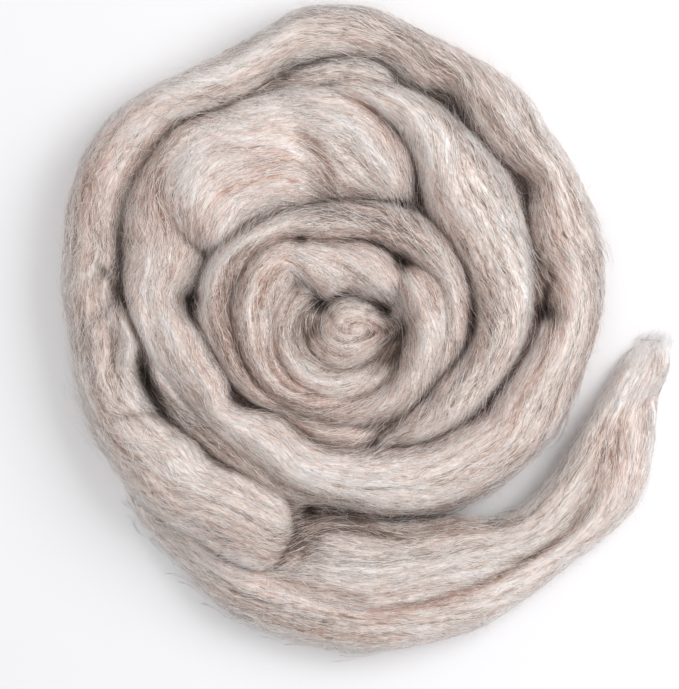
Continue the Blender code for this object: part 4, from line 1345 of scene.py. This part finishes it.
def fibre_material(colours, name="combed_wool_fibre", finish=WOOL_FINISH):
    """Combed wool fibres: each keeps its own fleece's colour, from rust brown to white."""
    material, tree, shader = new_material(name, finish)
    place = add_node(tree, "ShaderNodeUVMap", uv_map="OFBake").outputs["UV"]
    parts = add_node(tree, "ShaderNodeSeparateXYZ", {"Vector": place})
    tree.links.new(
        blended_wool(tree, parts.outputs["X"], parts.outputs["Y"], colours),
        shader.inputs["Base Color"])
    return material


def loose_material(colours):
    """Loose wool fibres, in the same colours."""
    return fibre_material(colours, "loose_wool_fibre", WOOL_FINISH | LOOSE_FINISH)


STREAK_LENGTH = 5.0          # mm
STREAK_WIDTH = 0.4           # mm
STREAK_RADIUS = 80.0         # mm from the middle of the coil, where streaks have that length
STREAK_TONES = (-0.33, 0.09)                 # change of tone, least and most


def body_material(colours):
    """The combed sliver under its loose fibres: fine parallel streaks, lightly ridged.

    Real fibres are a fortieth of a mm thick, too fine to show, so a streak is 0.4 mm wide.
    """
    material, tree, shader = new_material("combed_wool_sliver", WOOL_FINISH)
    tone = add_node(tree, "ShaderNodeAttribute", attribute_name="tone").outputs["Fac"]
    tint = add_node(tree, "ShaderNodeAttribute", attribute_name="tint").outputs["Fac"]
    comb = add_node(tree, "ShaderNodeAttribute", attribute_name="comb").outputs["Vector"]
    around = STREAK_RADIUS / STREAK_LENGTH
    across = 1 / (STREAK_WIDTH * MM)
    scaled = add_node(tree, "ShaderNodeMapping", {"Vector": comb, "Scale": (around, around, across)})
    streaks = add_node(
        tree, "ShaderNodeTexNoise",
        {"Vector": scaled.outputs["Vector"], "Scale": 1.0, "Detail": 2.0, "Roughness": 0.6,
         "Distortion": 1.2}).outputs["Fac"]
    spread = add_node(
        tree, "ShaderNodeMapRange",
        {"Value": streaks, "From Min": 0.3, "From Max": 0.7,
         "To Min": STREAK_TONES[0], "To Max": STREAK_TONES[1]})
    streaked = add_node(
        tree, "ShaderNodeMath", {0: tone, 1: spread.outputs["Result"]}, operation="ADD")
    tree.links.new(
        blended_wool(tree, streaked.outputs["Value"], tint, colours), shader.inputs["Base Color"])
    bump = add_node(
        tree, "ShaderNodeBump",
        {"Height": streaks, "Strength": 0.4, "Distance": STREAK_WIDTH * MM})
    tree.links.new(bump.outputs["Normal"], shader.inputs["Normal"])
    return material


def floor_material(colour):
    """Matt white card."""
    finish = CARD_FINISH | {"Base Color": (*colour, 1.0)}
    return new_material("matt_white_card", finish)[0]


# ---------------------------------------------------------------- properties


def colour_property(name, description, hex_colour):
    """A colour that is given as an sRGB hex value."""
    return bpy.props.FloatVectorProperty(
        name=name, description=description, subtype="COLOR", min=0.0, max=1.0,
        default=linear(hex_colour))


def count_property(name, description, count):
    """A number of fibres."""
    return bpy.props.IntProperty(name=name, description=description, default=count, min=0)


def length_property(name, description, length):
    """A length that is given in mm."""
    return bpy.props.FloatProperty(
        name=name, description=description, default=length * MM, unit="LENGTH", precision=5)


def share_property(name, description, share):
    """A share of one."""
    return bpy.props.FloatProperty(
        name=name, description=description, default=share, subtype="FACTOR")


class RovingFibres(bpy.types.PropertyGroup):
    """Counts and sizes of the fibres."""

    laid_count: count_property(
        "Laid fibres", "Fibres combed over the top of the wool", 22000)
    laid_length: length_property("Laid length", "Length of a laid fibre that shows", 7.5)
    laid_width: length_property("Laid width", "Thickness of a laid lock of a few fibres", 0.27)
    long_count: count_property(
        "Long fibres", "Long crimped fibres that cross the others", 10500)
    long_length: length_property("Long length", "Length of a long fibre that shows", 15.0)
    long_width: length_property("Long width", "Thickness of a long fibre", 0.23)
    side_count: count_property(
        "Side fibres", "Fibres combed along the free sides", 7700)
    flyaway_count: count_property(
        "Flyaways", "Loose fibre ends that stand off the wool", 7000)
    flyaway_length: length_property("Flyaway length", "Length of a loose end", 8.0)
    flyaway_width: length_property("Flyaway width", "Thickness of a loose end", 0.16)
    flyaway_reach: length_property(
        "Flyaway reach", "How far a loose end stands off the wool", 1.6)
    fray_count: count_property(
        "Frayed fibres", "Fibres that fan out from the tip", 170)
    fray_length: length_property("Fray length", "Length of a frayed fibre", 16.0)
    tone_spread: share_property(
        "Tone spread", "Difference in lightness from fibre to fibre", 0.24)
    tint_spread: share_property(
        "Tint spread", "Difference in warmth from fibre to fibre", 0.15)


class RovingColours(bpy.types.PropertyGroup):
    """Colours of the three fleeces in the blend, in shade and lit."""

    cool_shade: colour_property("Cool shade", "Grey fleece in shade", "#877a75")
    cool_lit: colour_property("Cool lit", "Grey fleece in light", "#ddd2cb")
    cream_shade: colour_property("Cream shade", "Cream fleece in shade", "#8d786e")
    cream_lit: colour_property("Cream lit", "Cream fleece in light", "#e4d3ca")
    rust_shade: colour_property("Rust shade", "Rust fleece in shade", "#86675b")
    rust_lit: colour_property("Rust lit", "Rust fleece in light", "#d8baad")


class RovingStage(bpy.types.PropertyGroup):
    """The floor and the light around the coil."""

    floor_colour: colour_property("Floor", "Colour of the floor", "#f4f4f6")
    key_power: bpy.props.FloatProperty(
        name="Key light", description="Power of the large soft light", default=7.4, unit="POWER")
    fill_power: bpy.props.FloatProperty(
        name="Fill light", description="Power of the light overhead", default=2.0, unit="POWER")
    room_light: bpy.props.FloatProperty(
        name="Room light", description="Strength of the light from all round", default=0.68)


# ---------------------------------------------------------------- operators


class LayCoil(bpy.types.Operator):
    """Raise the body of the coil from the map of the wool"""

    bl_idname = "roving.lay_coil"
    bl_label = "Lay the coil"

    def execute(self, context):
        material = body_material(context.scene.roving_colours)
        coil_disc(material)
        coil_rim(material)
        return {"FINISHED"}


class LayTail(bpy.types.Operator):
    """Raise the body of the loose tail from the map of the wool"""

    bl_idname = "roving.lay_tail"
    bl_label = "Lay the tail"

    def execute(self, context):
        x, y, z = tail_section(np.linspace(*TAIL_SPAN, TAIL_ROWS))
        body_piece("tail_body", x, y, z, False, bpy.data.materials["combed_wool_sliver"])
        return {"FINISHED"}


# Kinds of combed fibre: the ending of its pieces' names, points along it, count, mean length,
# width, change of tone, and radians that it swings from the comb.
Kind = namedtuple("Kind", "ending steps count length width paler swing")


class CombFibres(bpy.types.Operator):
    """Comb short crimped fibres over the top of the wool"""

    bl_idname = "roving.comb_fibres"
    bl_label = "Comb the fibres"

    def execute(self, context):
        """Each fibre starts under the surface, rises over it as a sine and dives again."""
        sizes = context.scene.roving_fibres
        material = fibre_material(context.scene.roving_colours)
        wool = wool_map()
        kinds = (
            Kind("_fibres", 4, sizes.laid_count, sizes.laid_length, sizes.laid_width, 0.02, 0.26),
            Kind("_long_fibres", 6, sizes.long_count, sizes.long_length, sizes.long_width,
                 0.20, 0.38))
        surface = 1 / wool.values["up_z"].clip(STEEPEST_SLOPE)
        parts = regions()
        areas = {
            name: float((region & (wool.values["rim"] < 1)) @ surface)
            for name, region in parts.items()}
        for (name, region), kind in itertools.product(parts.items(), kinds):
            rng = np.random.default_rng([sum(name.encode()), kind.steps])
            count = int(kind.count * areas[name] / sum(areas.values()))
            shape = (count, kind.steps)
            x, y = seed_places(rng, count, region)
            length = kind.length / MM * rng.uniform(*LAID_LENGTHS, count)
            bend = rng.normal(0, kind.swing, (count, 1)) * np.linspace(-1, 1, kind.steps)[None, :]
            turn = rng.normal(0, kind.swing, (count, 1)) + bend + rng.normal(0, WANDER, shape)
            turn = turn * np.interp(x, *LOOSENESS)[:, None]
            stride = length / (kind.steps - 1)
            x, y = walk_within(x, y, stride, kind.steps, turn)
            up = facing(x, y)
            arch = np.sin(np.linspace(0, math.pi, kind.steps))[None, :]
            highest = LAID_ARCH[1] + PALE_ARCH * kind.paler
            lift = -ROOT_DEPTH + arch * rng.uniform(LAID_ARCH[0], highest, (count, 1))
            lift = lift + rng.normal(0, CRIMP, shape)
            z = stiffened(wool.read("height", x, y), stride, 1.0)
            paths = in_frame(x, y, z) + up * (lift * MM)[..., None]
            tone = wool.read("tone", x, y) + tone_strays(rng, count, sizes.tone_spread) + kind.paler
            tint = wool.read("tint", x, y) + rng.normal(0, sizes.tint_spread, (count, 1))
            radius = kind.width / 2 * rng.uniform(*LAID_WIDTHS, count)
            fibre_piece(name + kind.ending, paths, up, radius, tone, tint, material)
        return {"FINISHED"}


class CombSides(bpy.types.Operator):
    """Comb fibres along the free sides of the coil and the tail"""

    bl_idname = "roving.comb_sides"
    bl_label = "Comb the sides"

    def execute(self, context):
        """A fibre keeps its share of the way down the side, with a small random wander."""
        sizes = context.scene.roving_fibres
        material = bpy.data.materials["combed_wool_fibre"]
        wool = wool_map()
        steps = 4
        for order, (name, part, span, way, share) in enumerate(FREE_SIDES):
            rng = np.random.default_rng([order, SIDE_SEED])
            count = int(sizes.side_count * share)
            stride = sizes.laid_length / MM * rng.uniform(*SIDE_LENGTHS, (count, 1)) / (steps - 1)
            start = rng.uniform(*span, (count, 1))
            bearing = start + np.degrees(stride / SIDE_RADIUS) * np.arange(steps)[None, :]
            down = rng.uniform(*SIDE_DOWN, (count, 1))
            down = down + np.cumsum(rng.normal(0, SIDE_WANDER, (count, steps)), axis=1)
            down = np.clip(down, 0, SIDE_LOWEST)
            if part == "coil":
                ring = np.linspace(0, 360, TURN_COLUMNS, endpoint=False)
                edge = np.interp(bearing % 360, ring, coil_edge(ring), period=360)
            else:
                edges = tail_edges(bearing.ravel())
                edge = (edges[1] if way > 0 else edges[0]).reshape(bearing.shape)
            angle = np.radians(bearing)
            top = wool.read(part, *place_at(edge, angle))
            arch = np.sin(np.linspace(0, math.pi, steps))
            lift = -ROOT_DEPTH + arch * rng.uniform(*SIDE_ARCH, (count, 1))
            radius = edge + way * (lift * (1 - down) - wall_inset(down) - SIDE_INSET * down)
            z = np.maximum(top, 1) * (1 - down)
            x, y = place_at(radius, angle)
            up = np.stack([way * np.cos(angle), -way * np.sin(angle), 0 * angle], axis=-1)
            within = (x * SIDE_WITHIN, y * SIDE_WITHIN)
            tone = wool.read("tone", *within)
            # Painted light: side fibres paler than the wool they lie on.
            tone = tone + SIDE_PAINTED_LIGHT + tone_strays(rng, count, sizes.tone_spread)
            tint = wool.read("tint", *within) + rng.normal(0, sizes.tint_spread, (count, 1))
            radius = sizes.laid_width / 2 * rng.uniform(*SIDE_WIDTHS, count)
            fibre_piece(name + "_fibres", in_frame(x, y, z), up, radius, tone, tint, material)
        return {"FINISHED"}


class LiftFlyaways(bpy.types.Operator):
    """Stand loose fibre ends off the wool, most of them at its free edges"""

    bl_idname = "roving.lift_flyaways"
    bl_label = "Lift the flyaways"

    def execute(self, context):
        """A loose end leaves the comb at a slant, and rises ever more steeply along its way."""
        sizes = context.scene.roving_fibres
        material = loose_material(context.scene.roving_colours)
        wool = wool_map()
        steps = 4
        rng = np.random.default_rng(FLY_SEED)
        outside = (wool.values["cover"] < FLY_COVER) & (wool.values["rim"] > FLY_EDGE)
        edge = ~outside & (wool.values["rim"] > GROOVE_EDGE)
        share_along = np.linspace(0, 1, steps)[None, :]
        places = {"outside": outside, "groove": edge, "crown": ~(outside | edge)}
        for (name, region), share in zip(places.items(), FLY_SHARES):
            count = int(sizes.flyaway_count * share)
            x, y = seed_places(rng, count, region)
            length = sizes.flyaway_length / MM * rng.uniform(*FLY_LENGTHS, count)
            bend = rng.normal(0, FLY_BEND, (count, 1)) * share_along
            slant = rng.normal(0, FLY_SLANT, (count, 1)) + bend
            slant = slant + rng.normal(0, WANDER, (count, steps))
            back = rng.choice([0.0, math.pi], (count, 1))
            x, y = stray(x, y, length / (steps - 1), steps, slant + back)
            reach = sizes.flyaway_reach / MM * rng.gamma(2.0, 0.5, (count, 1))
            z = stiffened(wool.read("height", x, y), length / (steps - 1), FLY_STEEPEST)
            z = z - ROOT_DEPTH + reach * share_along ** FLY_RISE
            # Painted light, in part: loose ends near white.
            tone = FLY_TONE[0] + rng.normal(0, FLY_TONE[1], (count, 1)) + 0 * x
            tint = wool.read("tint", x[:, :1], y[:, :1])
            tint = tint + rng.normal(0, FLY_TINTS, (count, 1)) + 0 * x
            radius = sizes.flyaway_width / 2 * rng.uniform(*FLY_WIDTHS, count)
            paths = in_frame(x, y, z)
            fibre_piece(name + "_flyaways", paths, UPWARDS, radius, tone, tint, material)
        return {"FINISHED"}


class FrayTip(bpy.types.Operator):
    """Fray the tip of the tail into a fan of thin pale fibres"""

    bl_idname = "roving.fray_tip"
    bl_label = "Fray the tip"

    def execute(self, context):
        """Fibres set off towards the tip, fanning with their share across, and curl upwards."""
        sizes = context.scene.roving_fibres
        material = bpy.data.materials["loose_wool_fibre"]
        wool = wool_map()
        steps = 6
        rng = np.random.default_rng(FRAY_SEED)
        count = sizes.fray_count
        bearing = FRAY_SPAN[0] + FRAY_SPAN[1] * rng.random(count) ** FRAY_CROWDING
        share = rng.uniform(-1, 1, count)
        rows = strand_columns("tail_inner_lobe")
        inner = np.interp(bearing, rows["bearing"], rows["inner"])
        outer = np.interp(bearing, rows["bearing"], rows["outer"])
        radius = (inner + outer) / 2 + (outer - inner) / 2 * share
        x, y = place_at(radius, np.radians(bearing))
        length = sizes.fray_length / MM * rng.uniform(*FRAY_LENGTHS, count)
        ends = bearing - np.maximum(bearing - FRAY_LAST, rng.uniform(*FRAY_ENDS, count))
        length = np.minimum(length, radius * np.radians(ends) * FRAY_SLACK)
        along = np.linspace(0, 1, steps)[None, :]
        fan = (FRAY_FAN * share)[:, None] * along
        turn = math.pi + fan + rng.normal(0, FRAY_TURN, (count, 1))
        turn = turn + rng.normal(0, FRAY_CURL, (count, 1)) * along ** 2
        turn = turn + rng.normal(0, WANDER, (count, steps))
        x, y = stray(x, y, length / (steps - 1), steps, turn)
        start = np.maximum(wool.read("tail", x[:, :1], y[:, :1]), 1.0)
        height = rng.uniform(*FRAY_HEIGHTS, (count, 1)) * (start + 1)
        z = height * (1 - FRAY_DROP * along) + FRAY_LIFT
        z = z + FRAY_RISE[0] * rng.random((count, 1)) * along * (1 - FRAY_RISE[1] * along)
        # Painted light, in part: frayed fibres near white.
        tone = 1.0 - FRAY_FADE * rng.random((count, 1)) ** 2 + 0 * x
        tint = FRAY_TINT[0] + rng.normal(0, FRAY_TINT[1], (count, 1)) + 0 * x
        radius = sizes.flyaway_width / 2 * rng.uniform(*FRAY_WIDTHS, count)
        fibre_piece("tip_fray", in_frame(x, y, z), UPWARDS, radius, tone, tint, material)
        return {"FINISHED"}


# The stage, in metres.
FLOOR_SIZE = 6.0
KEY_SIZE = 0.75
KEY_PLACE = (0.70, 0.28, 0.85)
FILL_SIZE = 1.4
FILL_PLACE = (-0.5, -0.3, 1.5)
VIEW_DEPTH = 20.0


def area_light(name, power, size, place):
    """A square soft light that faces the middle of the floor."""
    data = bpy.data.lights.new(name, "AREA")
    data.energy = power
    data.size = size
    light = bpy.data.objects.new(name, data)
    light.location = place
    light.rotation_mode = "QUATERNION"
    light.rotation_quaternion = Vector(place).to_track_quat("Z", "Y")
    bpy.context.scene.collection.objects.link(light)


class SetStage(bpy.types.Operator):
    """Set the floor, the soft lights and the camera over the coil"""

    bl_idname = "roving.set_stage"
    bl_label = "Set the stage"

    def execute(self, context):
        stage = context.scene.roving_stage
        bpy.ops.mesh.primitive_plane_add(size=FLOOR_SIZE)
        floor = context.active_object
        floor.name = "floor"
        floor.data.materials.append(floor_material(stage.floor_colour))
        area_light("key", stage.key_power, KEY_SIZE, KEY_PLACE)
        area_light("fill", stage.fill_power, FILL_SIZE, FILL_PLACE)
        world = bpy.data.worlds.new("studio")
        world.use_nodes = True
        background = world.node_tree.nodes["Background"]
        background.inputs["Color"].default_value = (1.0, 1.0, 1.0, 1.0)
        background.inputs["Strength"].default_value = stage.room_light
        context.scene.world = world
        context.scene.view_settings.view_transform = "Standard"

        long_side = max(RENDER_SIZE) * PIXEL * MM
        shift = table_shift()
        data = bpy.data.cameras.new("camera")
        data.lens = LENS
        data.sensor_width = SENSOR
        data.clip_end = VIEW_DEPTH
        camera = bpy.data.objects.new("camera", data)
        camera.location = (
            (RENDER_SIZE[0] / 2 - COIL_MIDDLE[0]) * PIXEL * MM - shift[0],
            (COIL_MIDDLE[1] - RENDER_SIZE[1] / 2) * PIXEL * MM - shift[1],
            long_side * LENS / SENSOR + TRUE_HEIGHT * MM)
        context.scene.collection.objects.link(camera)
        context.scene.camera = camera
        return {"FINISHED"}


STEPS = (SetStage, LayCoil, LayTail, CombFibres, CombSides, LiftFlyaways, FrayTip)


class RovingPanel(bpy.types.Panel):
    """Everything that lays the roving, in order."""

    bl_idname = "VIEW3D_PT_roving"
    bl_label = "Wool Roving"
    bl_space_type = "VIEW_3D"
    bl_region_type = "UI"
    bl_category = "Roving"

    def draw(self, context):
        scene = context.scene
        for group in (scene.roving_fibres, scene.roving_colours, scene.roving_stage):
            for name in group.__annotations__:
                self.layout.prop(group, name)
        for step in STEPS:
            self.layout.operator(step.bl_idname)


CLASSES = (RovingFibres, RovingColours, RovingStage, *STEPS, RovingPanel)


def register():
    for each in CLASSES:
        bpy.utils.register_class(each)
    bpy.types.Scene.roving_fibres = bpy.props.PointerProperty(type=RovingFibres)
    bpy.types.Scene.roving_colours = bpy.props.PointerProperty(type=RovingColours)
    bpy.types.Scene.roving_stage = bpy.props.PointerProperty(type=RovingStage)


def unregister():
    del bpy.types.Scene.roving_stage
    del bpy.types.Scene.roving_colours
    del bpy.types.Scene.roving_fibres
    for each in reversed(CLASSES):
        bpy.utils.unregister_class(each)


def main():
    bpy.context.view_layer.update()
    register()
    bpy.ops.roving.set_stage()
    bpy.ops.roving.lay_coil()
    bpy.ops.roving.lay_tail()
    bpy.ops.roving.comb_fibres()
    bpy.ops.roving.comb_sides()
    bpy.ops.roving.lift_flyaways()
    bpy.ops.roving.fray_tip()


if __name__ == "__main__":
    main()
